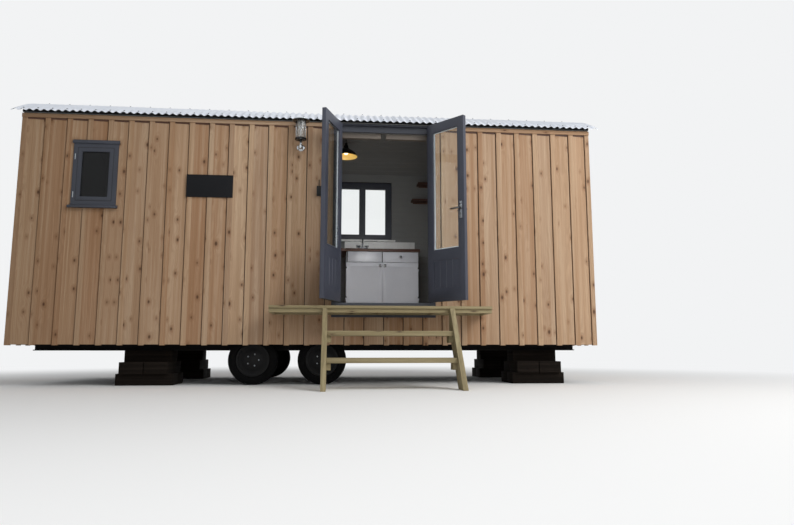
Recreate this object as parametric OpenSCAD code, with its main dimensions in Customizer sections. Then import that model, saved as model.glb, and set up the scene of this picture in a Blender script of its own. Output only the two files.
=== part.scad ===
// Shepherd's hut: timber body with a curved corrugated roof, on a wheeled chassis and sleeper cribs,
// with double doors, an entrance landing with steps, and the kitchen unit behind the doors.
// X runs along the hut, the door side faces -Y, Z is up.
// The origin is the middle of the bounding box, on the ground.

/* [Body] */
// Length of the clad body
hut_len = 6450; // [6000:10:7000]
// Width of the body over its cladding
hut_w = 2440; // [2400:10:2550]
// Height of the cladding's lower edge above the ground
skirt_z = 430; // [400:5:450]
// Height of the floor above the ground
floor_z = 895; // [880:5:930]
// Thickness of the walls, cladding and lining included
wall_t = 95; // [85:1:105]
// Thickness of the cladding where it hangs below the floor as a skirt
skirt_t = 30; // [20:1:45]
// Thickness of the floor, boards and joists
floor_t = 170; // [120:5:180]

/* [Roof] */
// Radius of the roof, at the middle of its corrugations
roof_r = 2360; // [2300:10:2600]
// Height of the roof's eaves above the tops of the door leaves
eave_up = 38; // [35:1:60]
// Reach of the roof past the front and back walls
eave_over = 70; // [50:5:90]
// Reach of the roof past the end walls
gable_over = 100; // [60:5:160]
// Width of one corrugation
corr_pitch = 76.2; // [70:0.1:90]
// Depth of the corrugations
corr_h = 19; // [15:0.5:22]
// Thickness of the roof sheets
sheet_t = 1; // [0.8:0.1:1.5]
// Corrugations that one sheet covers
sheet_corrs = 8; // [6:1:10]
// Thickness of the roof boards under the sheets
deck_t = 40; // [30:1:45]
// Height of the board under the eaves
frieze_h = 45; // [30:1:60]
// Thickness of the board under the eaves
frieze_t = 12; // [8:1:14]

/* [Doorway] */
// Distance of the doorway's middle from the hut's middle
door_x = 770; // [600:10:900]
// Width between the door frame's jambs
door_w = 1080; // [1000:5:1200]
// Height of the door leaves
leaf_h = 2045; // [2000:5:2050]
// Thickness of the door leaves
leaf_t = 44; // [38:1:50]
// Gap round the door leaves
door_gap = 5; // [5:0.5:7]
// Height of the lever handle above the foot of the leaf
handle_up = 1000; // [900:10:1050]
// Gap where the two leaves meet
meet_gap = 10; // [10:0.5:14]
// Width of the leaf's stiles
stile_w = 88; // [75:1:100]
// Height of the leaf's top rail
top_rail_h = 108; // [90:1:120]
// Height of the leaf's middle rail
mid_rail_h = 125; // [100:1:140]
// Height of the leaf's bottom rail
bottom_rail_h = 150; // [120:1:180]
// Height of the glass above the foot of the leaf
glass_z = 580; // [520:5:640]
// Distance of the hinge axis in front of the leaf's face
hinge_out = 16; // [14:1:20]
// Angle at which the left leaf stands open
left_open = 110; // [95:1:125]
// Angle at which the right leaf stands open
right_open = 130; // [95:1:140]
// Thickness of the door frame's jambs
jamb_t = 45; // [40:1:60]
// Reach of the door frame past the face of the cladding
frame_out = 8; // [4:1:12]
// Reach of the stops behind the leaves
stop_w = 14; // [10:1:20]
// Height of the stop over the leaves
head_stop_h = 60; // [40:1:80]
// Height of the sill above the floor
sill_up = 5; // [2:1:10]

/* [Front window] */
// Distance of the front window's middle from the hut's middle
fwin_x = -2418; // [-2600:10:-2000]
// Width of the front window
fwin_w = 475; // [400:5:600]
// Height of the front window
fwin_h = 692; // [600:5:750]
// Distance of the front window's head below the eaves
fwin_down = 346; // [300:2:420]

/* [Back window] */
// Distance of the back window's middle from the hut's middle
bwin_x = 625; // [500:5:800]
// Width of the back window
bwin_w = 884; // [800:2:1000]
// Height of the back window
bwin_h = 893; // [840:5:900]
// Distance of the back window's head below the eaves
bwin_down = 80; // [75:1:90]

/* [Windows] */
// Width of the window frames
win_frame_w = 45; // [40:1:50]
// Width of the sashes
sash_w = 47; // [40:1:50]
// Depth of the window frames
win_frame_d = 70; // [60:1:80]
// Reach of the window frames past the cladding
win_out = 10; // [5:1:15]
// Reach of the window sills past the cladding
win_sill_out = 45; // [30:1:60]
// Thickness of the glass units
glass_t = 16; // [10:1:24]

/* [Chassis] */
// Height of the chassis rails above the ground
rail_z = 375; // [375:5:390]
// Depth of the chassis rails
rail_h = 200; // [180:5:200]
// Width of the rails' flanges
rail_w = 100; // [80:5:120]
// Distance of each rail's outer edge from the cladding's face
rail_in = 330; // [320:5:420]
// Thickness of the rails' steel
rail_web = 8; // [6:1:12]
// Distance between the cross members
cross_step = 1060; // [900:10:1200]
// Width of the cross members
cross_w = 60; // [50:5:80]
// Reach of the rails short of the end walls
rail_end = 150; // [120:10:300]

/* [Wheels] */
// Diameter of the tyres
tyre_d = 540; // [520:5:550]
// Width of the tyres
tyre_w = 155; // [145:5:165]
// Diameter of the rims over their flanges
rim_d = 362; // [350:1:370]
// Distance of the tyres from the cladding's face
wheel_in = 120; // [100:5:140]
// Distance of the left axle from the hut's middle
axle_x = -670; // [-900:10:-500]
// Distance between the axles
axle_step = 760; // [700:10:900]
// Width of the square axle beams
beam_w = 60; // [50:5:60]
// Diameter of the stub axles
stub_d = 40; // [30:1:45]
// Radial clearance between stub axle and hub
stub_gap = 0.05; // [0.02:0.01:0.1]

/* [Cribs] */
// Thickness of the sleepers
sleeper_t = 125; // [120:1:125]
// Width of the sleepers
sleeper_w = 250; // [220:5:260]
// Length of the lowest sleepers
sleeper_long = 600; // [550:10:700]
// Distance of the cribs' middles from the end walls
crib_in = 665; // [625:5:900]
// Shift of the left cribs towards the hut's middle
crib_left_in = 740; // [300:10:800]

/* [Landing and steps] */
// Distance of the landing's left end from the hut's middle
landing_x = -455; // [-600:5:-300]
// Length of the landing
landing_len = 2350; // [2200:10:2600]
// Height of the landing above the ground
landing_z = 838; // [820:1:845]
// Width of one landing board
deck_board_w = 145; // [120:1:160]
// Thickness of the landing boards
deck_board_t = 28; // [20:1:32]
// Gap between the landing boards
deck_gap = 5; // [3:1:8]
// Number of landing boards
deck_boards = 3; // [2:1:4]
// Height of the landing's joists
joist_h = 45; // [40:1:90]
// Width of the landing's joists
joist_w = 47; // [40:1:60]
// Width between the stringers
flight_w = 1280; // [1000:10:1300]
// Distance of the flight's middle from the hut's middle
flight_x = 790; // [700:5:800]
// Going of each step
going = 215; // [190:5:240]
// Rise of the upper steps
rise = 268; // [255:1:275]
// Depth of each tread, front to back
tread_d = 225; // [190:5:240]
// Thickness of the treads
tread_t = 50; // [38:1:55]
// Width of the stringer boards
stringer_w = 195; // [180:5:220]
// Thickness of the stringer boards
stringer_t = 50; // [38:1:60]
// Reach of the stringers past the treads' noses
nose_margin = 20; // [10:1:40]
// Reach of the landing boards past their front joist
board_nose = 20; // [10:1:30]
// Width of the cleats under the treads
cleat_w = 42; // [30:1:50]
// Height of the cleats under the treads
cleat_h = 68; // [50:1:80]

/* [Kitchen] */
// Distance of the kitchen unit's left end from the hut's middle
unit_x = 378; // [300:2:450]
// Width of one cupboard
cupboard_w = 510; // [450:5:550]
// Depth of the worktop
worktop_d = 600; // [580:5:620]
// Height of the worktop above the floor
worktop_h = 900; // [850:5:920]
// Thickness of the worktop
worktop_t = 40; // [30:1:45]
// Thickness of the cupboards' panels
panel_t = 18; // [15:1:22]
// Height of the plinth
plinth_h = 110; // [90:5:150]
// Thickness of the cupboard fronts
front_t = 20; // [16:1:24]
// Gap round and behind the cupboard fronts
front_gap = 5; // [5:0.5:6]
// Height of the sink and of the drawer's front
sink_h = 150; // [140:5:180]
// Depth of the sink, front to back
sink_d = 455; // [420:5:460]
// Thickness of the sink's walls
sink_t = 22; // [18:1:28]
// Travel of the drawer
drawer_travel = 350; // [200:10:380]

/* [Fittings] */
// Distance of the porch lantern from the hut's middle
lantern_x = -180; // [-300:5:-150]
// Distance of the porch lantern's hood below the eaves
lantern_down = 18; // [10:2:60]
// Distance of the slate plate's middle from the hut's middle
slate_x = -1180; // [-1400:5:-900]
// Height of the slate plate's middle above the ground
slate_z = 2192; // [2000:2:2300]
// Distance of the pendant lamp from the hut's middle
pendant_x = 350; // [200:5:600]
// Distance of the pendant shade's rim below the ceiling
pendant_drop = 367; // [365:1:500]
// Diameter of the pendant shade
shade_d = 310; // [250:5:360]

/* [Hidden] */
$fn = 64;
// Clearance of pieces that seat on a curved face, and the overlap of a cut past a face
seat = 0.3;
cut = 5;

// Landing, and the reach of the foot of the steps
landing_d = deck_boards * (deck_board_w + deck_gap);
pitch = atan(rise / going);
nose_out = nose_margin / sin(pitch);
steps_front = landing_d + landing_z / tan(pitch) + nose_out;

// Roof, its eaves just above the door leaves
leaf_z = floor_z + sill_up + door_gap;
leaf_top = leaf_z + leaf_h;
eave_z = leaf_top + eave_up;
roof_half = hut_w / 2 + eave_over;
roof_cz = eave_z - sqrt(pow(roof_r, 2) - pow(roof_half, 2));
roof_angle = asin(roof_half / roof_r);
wave = (corr_h - sheet_t) / 2;
deck_r = roof_r - corr_h / 2 - seat;
ceiling_r = deck_r - deck_t;
wall_top_r = ceiling_r - seat;
roof_len = hut_len + 2 * gable_over;
// Radial step between the sheets below and the sheets above, where they lap
lap_step = 1.7 * sheet_t;
lap = corr_pitch;
cover = sheet_corrs * corr_pitch;
sheet_count = ceil(roof_len / cover);
wave_steps = 8;

// Farthest reach of the sheets behind the roof's middle, which sets where the front cladding's face lies
roof_reach = (roof_r + wave + lap_step + sheet_t / 2) * roof_half / roof_r;
front_y = (steps_front - hut_w / 2 - roof_reach) / 2;
roof_cy = front_y + hut_w / 2;

// Doorway
leaf_w = (door_w - 2 * door_gap - meet_gap) / 2;
jamb_x0 = door_x - door_w / 2;
jamb_x1 = door_x + door_w / 2;
wall_x0 = jamb_x0 - jamb_t;
wall_x1 = jamb_x1 + jamb_t;
hinge_y = -frame_out - hinge_out;
sill_h = 40;
lining_t = 30;
under_door_top = floor_z + sill_up - sill_h;
hinge_zs = [180, leaf_h / 2, leaf_h - 200];
hinge_r = 7;
hinge_pin_r = 4;
knuckle_h = 40;
pin_gap = 0.08;

// Windows
fwin_z = eave_z - fwin_down - fwin_h;
bwin_z = eave_z - bwin_down - bwin_h;

// Under the floor
crib_x = hut_len / 2 - crib_in;
floor_under = floor_z - floor_t;
cross_z = rail_z + rail_h;
cross_h = floor_under - cross_z;
cross_span = hut_len - 2 * rail_end - cross_w;
cross_count = floor(cross_span / cross_step);
axle_z = tyre_d / 2;
wheel_mid_in = wheel_in + tyre_w / 2;
rail_flange = 10;
// Bead seat radius of the rims, and half the width between their flanges
bead_r = 165;
rim_half = 58;
crib_gap = 10;
joist_step = 600;
joist_z = landing_z - deck_board_t - joist_h;
joist_d = landing_d - board_nose;
joist_count = ceil((landing_len - joist_w) / joist_step);

// Fittings
slate_w = 508;
slate_h = 256;
slate_t = 10;
lantern_out = 105;
lantern_h = 370;
lantern_d = 176;
lantern_z = eave_z - lantern_down - lantern_h;
pendant_z = roof_cz + ceiling_r - pendant_drop;
shelf_x = 1490;
shelf_z = 2617;
shelf_len = 420;
shelf_d = 180;
bracket_d = 150;
blind_h = 90;
blind_d = 60;
blind_in = 15;

// Kitchen unit, from the wall's inner face and the floor
back_t = 6;
front_in = 20;
plinth_in = 60;
carcass_d = worktop_d - front_in - front_t - front_gap;
under_top = worktop_h - worktop_t;
sink_y1 = worktop_d - front_in;
sink_y0 = sink_y1 - sink_d;
door_z0 = plinth_h + front_gap / 2;
cup_door_h = under_top - sink_h - front_gap - door_z0;
cup_door_w = cupboard_w - front_gap;
drawer_z0 = under_top - sink_h;
rail_face = 62;
runner_w = 14;
runner_h = 12;
drawer_side_gap = 6;
drawer_z = drawer_z0 + 12;
drawer_box_h = 90;
cup_hinge_r = 5;
cup_knuckle_h = 25;
cup_hinge_out = 6;
cup_hinge_y = carcass_d + front_gap + front_t + cup_hinge_out;
cup_hinge_zs = [door_z0 + 90, door_z0 + cup_door_h - 90];
top_over = 20;
spout_r = 60;
riser_h = 120;
bar_len = 150;

function wave_at(x) = roof_r + wave * cos(360 * x / corr_pitch);
// Places of the wave's points between two ends
function wave_xs(a, b) = let (s = corr_pitch / wave_steps)
    concat([a], [for (j = [ceil(a / s) : floor(b / s)]) if (j * s > a + 1 && j * s < b - 1) j * s], [b]);

// Places children in front-wall coordinates: Y 0 is the cladding's outer face and +Y runs inwards
module at_front() {
    translate([0, front_y, 0]) children();
}

// The same for the back wall, with +Y running inwards from its cladding
module at_back() {
    translate([0, front_y + hut_w, 0]) mirror([0, 1, 0]) children();
}

// Keeps what lies under a roof of radius r
module under_roof(r = wall_top_r) {
    intersection() {
        children();
        translate([0, roof_cy, roof_cz]) rotate([0, 90, 0])
            cylinder(r = r, h = 2 * hut_len, center = true, $fn = 180);
    }
}

// A box from corner a to corner b
module box(a, b) {
    translate(a) cube(b - a);
}

// A stretch of long wall: a full wall above the floor's underside and a thin skirt below it
module wall_strip(x0, x1, z1 = eave_z + roof_r) {
    box([x0, 0, floor_under], [x1, wall_t, z1]);
    box([x0, 0, skirt_z], [x1, skirt_t, floor_under + cut]);
}

module window_hole(x, w, z, h) {
    box([x - w / 2, -cut, z], [x + w / 2, wall_t + cut, z + h]);
}

module front_wall_left() color("burlywood") under_roof() at_front() difference() {
    wall_strip(-hut_len / 2, wall_x0);
    window_hole(fwin_x, fwin_w, fwin_z, fwin_h);
}

module front_wall_right() color("burlywood") under_roof() at_front() wall_strip(wall_x1, hut_len / 2);

module front_wall_over_door() color("burlywood") under_roof() at_front()
    box([wall_x0, wall_t - lining_t, leaf_top - head_stop_h], [wall_x1, wall_t, eave_z + roof_r]);

module front_wall_under_door() color("burlywood") at_front() wall_strip(wall_x0, wall_x1, under_door_top);

module back_wall() color("burlywood") under_roof() at_back() difference() {
    wall_strip(-hut_len / 2, hut_len / 2);
    window_hole(bwin_x, bwin_w, bwin_z, bwin_h);
}

module gable(side) under_roof() at_front()
    box([side > 0 ? hut_len / 2 - wall_t : -hut_len / 2, wall_t, floor_under],
        [side > 0 ? hut_len / 2 : wall_t - hut_len / 2, hut_w - wall_t, eave_z + roof_r]);

module gable_skirt(side) at_front()
    box([side > 0 ? hut_len / 2 - skirt_t : -hut_len / 2, skirt_t, skirt_z],
        [side > 0 ? hut_len / 2 : skirt_t - hut_len / 2, hut_w - skirt_t, floor_under]);

module gable_left() color("burlywood") union() {
    gable(-1);
    gable_skirt(-1);
}

module gable_right() color("burlywood") union() {
    gable(1);
    gable_skirt(1);
}

module floor() color("tan") at_front()
    box([wall_t - hut_len / 2, wall_t, floor_under], [hut_len / 2 - wall_t, hut_w - wall_t, floor_z]);

module roof_deck() color("wheat") intersection() {
    translate([0, roof_cy, roof_cz]) rotate([0, 90, 0]) difference() {
        cylinder(r = deck_r, h = hut_len, center = true, $fn = 180);
        cylinder(r = ceiling_r, h = hut_len + 2 * cut, center = true, $fn = 180);
    }
    at_front() box([-hut_len, 0, eave_z - corr_h - deck_t], [hut_len, hut_w, eave_z + roof_r]);
}

// One corrugated sheet, bent to the roof's curve
module roof_sheet(a, b, up) {
    xs = wave_xs(a, b);
    translate([0, roof_cy, roof_cz]) rotate([0, 90, 0]) rotate([0, 0, 180 - roof_angle])
        rotate_extrude(angle = 2 * roof_angle, $fn = 180)
            polygon(concat([for (x = xs) [wave_at(x) + up - sheet_t / 2, x]],
                           [for (i = [len(xs) - 1 : -1 : 0]) [wave_at(xs[i]) + up + sheet_t / 2, xs[i]]]));
}

// Every other sheet, from the first one given
module roof_sheets(first, up) {
    for (i = [first : 2 : sheet_count - 1])
        roof_sheet(max(-roof_len / 2, (i - sheet_count / 2) * cover - lap / 2),
                   min(roof_len / 2, (i + 1 - sheet_count / 2) * cover + lap / 2), up);
}

module roof_sheets_under() color("gainsboro") roof_sheets(0, 0);

module roof_sheets_over() color("gainsboro") roof_sheets(1, lap_step);

// Board under the eaves on both long sides, its top cut to the roof
module eave_board(x0, x1) box([x0, -frieze_t, eave_z - corr_h - frieze_h], [x1, 0, eave_z - corr_h]);

module eave_boards() color("burlywood") {
    at_front() eave_board(-hut_len / 2, wall_x0 - 60);
    at_front() eave_board(wall_x1 + 60, hut_len / 2);
    at_back() eave_board(-hut_len / 2, hut_len / 2);
}

// The frame's half of a lift-off hinge: a lower knuckle with its pin, and an arm to the jamb's face
module hinge_lower() {
    translate([0, 0, -knuckle_h]) cylinder(r = hinge_r, h = knuckle_h);
    cylinder(r = hinge_pin_r, h = knuckle_h - 4);
    box([-hinge_r * 0.8, 0, -knuckle_h], [0, hinge_out, 0]);
    box([-45, hinge_out - 3, -knuckle_h], [0, hinge_out, 0]);
}

// The leaf's half: an upper knuckle, and an arm to the leaf's face
module hinge_upper() {
    difference() {
        translate([0, 0, seat]) cylinder(r = hinge_r, h = knuckle_h);
        translate([0, 0, -cut]) cylinder(r = hinge_pin_r + pin_gap, h = knuckle_h + cut - 3);
    }
    box([hinge_r * 0.8, 0, seat], [hinge_r + 3, hinge_out, knuckle_h]);
    box([hinge_r * 0.8, hinge_out - 3, seat], [45, hinge_out, knuckle_h]);
}

// Places children at each hinge of a side, with the hinge axis at the origin
module at_hinges(side) {
    at_front() translate([side < 0 ? jamb_x0 + door_gap / 2 : jamb_x1 - door_gap / 2, hinge_y, leaf_z])
        mirror([side < 0 ? 0 : 1, 0, 0]) for (z = hinge_zs) translate([0, 0, z]) children();
}

module door_frame() color("darkslategray") {
    under_roof() at_front() difference() {
        box([wall_x0, -frame_out, under_door_top], [wall_x1, wall_t - lining_t, eave_z + roof_r]);
        box([jamb_x0, -frame_out - cut, floor_z + sill_up],
            [jamb_x1, leaf_t + 5 - frame_out, leaf_top + door_gap]);
        box([jamb_x0 + stop_w, 0, floor_z + sill_up],
            [jamb_x1 - stop_w, wall_t + cut, leaf_top - head_stop_h]);
    }
    for (side = [-1, 1]) at_hinges(side) hinge_lower();
}

// Places a leaf drawn closed, with its hinge axis at the origin and the leaf along +X, at its open angle
module hang_leaf(side) {
    at_front() translate([side < 0 ? jamb_x0 + door_gap / 2 : jamb_x1 - door_gap / 2, hinge_y, leaf_z])
        mirror([side < 0 ? 0 : 1, 0, 0]) rotate([0, 0, side < 0 ? -left_open : -right_open]) children();
}

// Leaf frame, drawn with its outer face towards -Y
module leaf_frame() {
    translate([door_gap / 2, hinge_out, 0]) difference() {
        cube([leaf_w, leaf_t, leaf_h]);
        box([stile_w, -cut, glass_z], [leaf_w - stile_w, leaf_t + cut, leaf_h - top_rail_h]);
        box([stile_w, -cut, bottom_rail_h], [leaf_w - stile_w, 10, glass_z - mid_rail_h]);
        box([stile_w, leaf_t - 10, bottom_rail_h], [leaf_w - stile_w, leaf_t + cut, glass_z - mid_rail_h]);
    }
    for (z = hinge_zs) translate([0, 0, z]) hinge_upper();
}

module leaf_glass() {
    translate([door_gap / 2, hinge_out, 0])
        box([stile_w, (leaf_t - glass_t) / 2, glass_z],
            [leaf_w - stile_w, (leaf_t + glass_t) / 2, leaf_h - top_rail_h]);
}

module door_leaf_left() color("slategray") hang_leaf(-1) leaf_frame();

module door_leaf_right() color("slategray") hang_leaf(1) leaf_frame();

module door_glass_left() color("lightblue", 0.4) hang_leaf(-1) leaf_glass();

module door_glass_right() color("lightblue", 0.4) hang_leaf(1) leaf_glass();

// Lever handle on both faces of the right leaf, drawn in the leaf's own place
module door_handle() color("silver") hang_leaf(1) translate([door_gap / 2 + leaf_w - 45, hinge_out, handle_up])
    for (face = [0, 1]) translate([0, face * leaf_t, 0]) mirror([0, 1 - face, 0]) {
        box([-20, 0, -110], [20, 6, 80]);
        rotate([-90, 0, 0]) cylinder(r = 9, h = 45);
        translate([9, 45, 0]) rotate([0, -90, 0]) cylinder(r = 9, h = 125);
    }

// A window with its frame, sash or sashes, head drip and sill, drawn about its foot's middle
module window_frame(w, h, lights) {
    light_w = (w - 2 * win_frame_w) / lights;
    difference() {
        box([-w / 2, -win_out, 0], [w / 2, win_frame_d - win_out, h]);
        for (i = [0 : lights - 1]) translate([win_frame_w - w / 2 + i * light_w, 0, 0]) {
            box([sash_w, -win_out - cut, win_frame_w + sash_w],
                [light_w - sash_w, wall_t, h - win_frame_w - sash_w]);
            difference() {
                box([0, -win_out - cut, win_frame_w], [light_w, 3 - win_out, h - win_frame_w]);
                box([4, -win_out - 2 * cut, win_frame_w + 4],
                    [light_w - 4, wall_t, h - win_frame_w - 4]);
            }
        }
    }
    // Sill with a sloping top
    rotate([90, 0, 90]) translate([0, 0, -w / 2 - 22]) linear_extrude(w + 44)
        polygon([[0, -35], [-win_sill_out, -35], [-win_sill_out, -14], [-win_out, 0], [0, 0]]);
}

// Board over a window's head that throws the water off
module drip_board(w, h) rotate([90, 0, 90]) translate([0, 0, -w / 2 - 10]) linear_extrude(w + 20)
    polygon([[0, h], [-25, h], [-25, h + 30], [0, h + 44]]);

module window_glass(w, h, lights) {
    light_w = (w - 2 * win_frame_w) / lights;
    for (i = [0 : lights - 1]) translate([win_frame_w - w / 2 + i * light_w, 0, 0])
        box([sash_w, 14 - win_out, win_frame_w + sash_w],
            [light_w - sash_w, 14 + glass_t - win_out, h - win_frame_w - sash_w]);
}

module front_window() color("slategray") at_front() translate([fwin_x, 0, fwin_z]) {
    window_frame(fwin_w, fwin_h, 1);
    drip_board(fwin_w, fwin_h);
}

module front_window_glass() color("lightblue", 0.4) at_front() translate([fwin_x, 0, fwin_z])
    window_glass(fwin_w, fwin_h, 1);

module back_window() color("slategray") at_back() translate([bwin_x, 0, bwin_z])
    window_frame(bwin_w, bwin_h, 2);

module back_window_glass() color("lightblue", 0.4) at_back() translate([bwin_x, 0, bwin_z])
    window_glass(bwin_w, bwin_h, 2);

module slate_plate() color("black") at_front()
    box([slate_x - slate_w / 2, -slate_t, slate_z - slate_h / 2],
        [slate_x + slate_w / 2, 0, slate_z + slate_h / 2]);

// Porch lantern: wall plate, arm, base, collar, guard rods and hood
module porch_lantern() color("silver") at_front() translate([lantern_x, -lantern_out, lantern_z]) {
    translate([0, lantern_out, 50]) rotate([90, 0, 0]) cylinder(r = 55, h = 12);
    translate([0, lantern_out, 50]) rotate([90, 0, 0]) cylinder(r = 14, h = lantern_out);
    cylinder(r = 34, h = 110);
    translate([0, 0, 110]) cylinder(r = 60, h = 16);
    for (i = [0 : 7]) rotate([0, 0, i * 45 + 22.5]) translate([54, 0, 120])
        cylinder(r = 3, h = lantern_h - 135);
    translate([0, 0, lantern_h - 20]) cylinder(r = lantern_d / 2, h = 6);
    translate([0, 0, lantern_h - 14]) cylinder(r1 = 84, r2 = 40, h = 14);
    for (i = [0 : 2]) rotate([0, 0, i * 120 + 90]) translate([30, 0, 20]) rotate([0, 90, 0]) {
        cylinder(r = 4, h = 14);
        translate([0, 0, 12]) cylinder(r = 12, h = 9);
    }
}

module porch_lantern_glass() color("white", 0.5) at_front()
    translate([lantern_x, -lantern_out, lantern_z + 126]) difference() {
        cylinder(r = 48, h = lantern_h - 146);
        translate([0, 0, -cut]) cylinder(r = 44, h = lantern_h);
    }

// I-section rail along the hut
module chassis_rail() rotate([90, 0, 90]) translate([0, 0, rail_end - hut_len / 2])
    linear_extrude(hut_len - 2 * rail_end) union() {
        translate([rail_in, rail_z]) square([rail_w, rail_flange]);
        translate([rail_in, rail_z + rail_h - rail_flange]) square([rail_w, rail_flange]);
        translate([rail_in + (rail_w - rail_web) / 2, rail_z]) square([rail_web, rail_h]);
    }

module chassis_rails() color("dimgray") {
    at_front() chassis_rail();
    at_back() chassis_rail();
}

module cross_members() color("dimgray") at_front() for (i = [0 : cross_count])
    translate([-cross_span / 2 - cross_w / 2 + i * cross_span / cross_count, skirt_t, cross_z])
        cube([cross_w, hut_w - 2 * skirt_t, cross_h]);

// Axle beam, its hangers up to the rails, and the stub axles
module axle(x) color("dimgray") at_front() translate([x, 0, axle_z]) {
    inner = wheel_in + tyre_w + 15;
    box([-beam_w / 2, inner, -beam_w / 2], [beam_w / 2, hut_w - inner, beam_w / 2]);
    for (y = [rail_in, hut_w - rail_in - rail_w])
        box([-60, y + 10, beam_w / 2], [60, y + rail_w - 10, rail_z - axle_z]);
    for (y = [inner, hut_w - inner]) translate([0, y, 0]) mirror([0, y > inner ? 1 : 0, 0])
        rotate([90, 0, 0]) cylinder(r = stub_d / 2, h = inner - wheel_mid_in + 32);
}

module axle_left() axle(axle_x);

module axle_right() axle(axle_x + axle_step);

// Places a wheel drawn about its own axis, with its outer side towards -Y
module at_wheel(i, back) {
    if (back) at_back() translate([axle_x + i * axle_step, wheel_mid_in, axle_z]) rotate([90, 0, 0]) children();
    else at_front() translate([axle_x + i * axle_step, wheel_mid_in, axle_z]) rotate([90, 0, 0]) children();
}

// Steel wheel: barrel with its flanges, dished disc and hub
module wheel() {
    rotate_extrude($fn = 64) polygon([[bead_r - 4, -rim_half - 5], [rim_d / 2, -rim_half - 5],
        [rim_d / 2, -rim_half], [bead_r, -rim_half], [bead_r, rim_half], [rim_d / 2, rim_half],
        [rim_d / 2, rim_half + 5], [bead_r - 4, rim_half + 5]]);
    rotate_extrude($fn = 64) polygon([[40, 36], [90, 36], [125, 18], [bead_r - 2, 18], [bead_r - 2, 13], [122, 13],
        [88, 30], [40, 30]]);
    difference() {
        translate([0, 0, -45]) cylinder(r = 44, h = 95);
        translate([0, 0, -46]) cylinder(r = stub_d / 2 + stub_gap, h = 80);
    }
}

// Tyre section with sidewalls, crown and three grooves
module tyre() rotate_extrude($fn = 64) difference() {
    polygon([[bead_r + seat, -rim_half + seat], [rim_d / 2 + 4, -rim_half + seat], [rim_d / 2 + 14, -tyre_w / 2 + 4],
             [rim_d / 2 + 34, -tyre_w / 2], [tyre_d / 2 - 36, -tyre_w / 2 + 3], [tyre_d / 2 - 8, -tyre_w / 2 + 14],
             [tyre_d / 2, -tyre_w / 2 + 30], [tyre_d / 2, tyre_w / 2 - 30], [tyre_d / 2 - 8, tyre_w / 2 - 14],
             [tyre_d / 2 - 36, tyre_w / 2 - 3], [rim_d / 2 + 34, tyre_w / 2], [rim_d / 2 + 14, tyre_w / 2 - 4],
             [rim_d / 2 + 4, rim_half - seat], [bead_r + seat, rim_half - seat]]);
    polygon([[bead_r - 1, -rim_half + 16], [rim_d / 2 + 14, -tyre_w / 2 + 14], [tyre_d / 2 - 36, -tyre_w / 2 + 14],
             [tyre_d / 2 - 14, -tyre_w / 2 + 30], [tyre_d / 2 - 14, tyre_w / 2 - 30],
             [tyre_d / 2 - 36, tyre_w / 2 - 14], [rim_d / 2 + 14, tyre_w / 2 - 14], [bead_r - 1, rim_half - 16]]);
    for (i = [-1 : 1]) translate([tyre_d / 2 - 6, i * 26 - 3]) square([7, 6]);
}

module wheel_front_left() color("silver") at_wheel(0, false) wheel();
module wheel_front_right() color("silver") at_wheel(1, false) wheel();
module wheel_back_left() color("silver") at_wheel(0, true) wheel();
module wheel_back_right() color("silver") at_wheel(1, true) wheel();
module tyre_front_left() color("black") at_wheel(0, false) tyre();
module tyre_front_right() color("black") at_wheel(1, false) tyre();
module tyre_back_left() color("black") at_wheel(0, true) tyre();
module tyre_back_right() color("black") at_wheel(1, true) tyre();

// Crib of sleepers in three crossed layers, its top under a chassis rail
module crib() {
    rail_mid = rail_in + rail_w / 2;
    half = sleeper_w + crib_gap / 2;
    for (s = [0, 1]) translate([-sleeper_long / 2, rail_mid - half + s * (sleeper_w + crib_gap), 0])
        cube([sleeper_long, sleeper_w, sleeper_t]);
    for (s = [0, 1]) translate([-half + s * (sleeper_w + crib_gap), rail_mid - sleeper_long / 2, sleeper_t])
        cube([sleeper_w, sleeper_long, sleeper_t]);
    translate([-half, rail_mid - sleeper_w / 2, 2 * sleeper_t]) cube([2 * half, sleeper_w, rail_z - 2 * sleeper_t]);
}

module cribs(x) color("saddlebrown") {
    at_front() translate([x, 0, 0]) crib();
    at_back() translate([x, 0, 0]) crib();
}

module cribs_left() cribs(crib_left_in - crib_x);

module cribs_right() cribs(crib_x);

module landing_boards() color("darkkhaki") at_front() for (i = [0 : deck_boards - 1])
    translate([landing_x, -(i + 1) * (deck_board_w + deck_gap), landing_z - deck_board_t])
        cube([landing_len, deck_board_w, deck_board_t]);

module landing_frame() color("darkkhaki") at_front() translate([landing_x, 0, joist_z]) {
    for (y = [-joist_w, -joist_d]) translate([0, y, 0]) cube([landing_len, joist_w, joist_h]);
    for (i = [0 : joist_count]) translate([i * (landing_len - joist_w) / joist_count, -joist_d, 0])
        cube([joist_w, joist_d, joist_h]);
}

// Side view of a stringer: a sloping board cut at the ground, under the boards and at the front joist
module stringer_side() intersection() {
    translate([-landing_d - nose_out, landing_z]) rotate(pitch) translate([-3 * landing_z, -stringer_w])
        square([5 * landing_z, stringer_w]);
    translate([-joist_d - 3 * landing_z, 0]) square([3 * landing_z, landing_z - deck_board_t]);
}

function tread_y(i) = -landing_d - i * going;
function tread_top(i) = landing_z - i * rise;

module stringers() color("darkkhaki") at_front() for (s = [-1, 1])
    translate([flight_x, 0, 0]) mirror([s < 0 ? 1 : 0, 0, 0]) {
        translate([flight_w / 2, 0, 0]) rotate([90, 0, 90]) linear_extrude(stringer_t) stringer_side();
        for (i = [1, 2]) box([flight_w / 2 - cleat_w, tread_y(i) + 25, tread_top(i) - tread_t - cleat_h],
                             [flight_w / 2, tread_y(i) + tread_d - 70, tread_top(i) - tread_t]);
    }

module treads() color("darkkhaki") at_front() for (i = [1, 2])
    translate([flight_x - flight_w / 2, tread_y(i), tread_top(i) - tread_t]) cube([flight_w, tread_d, tread_t]);

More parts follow.
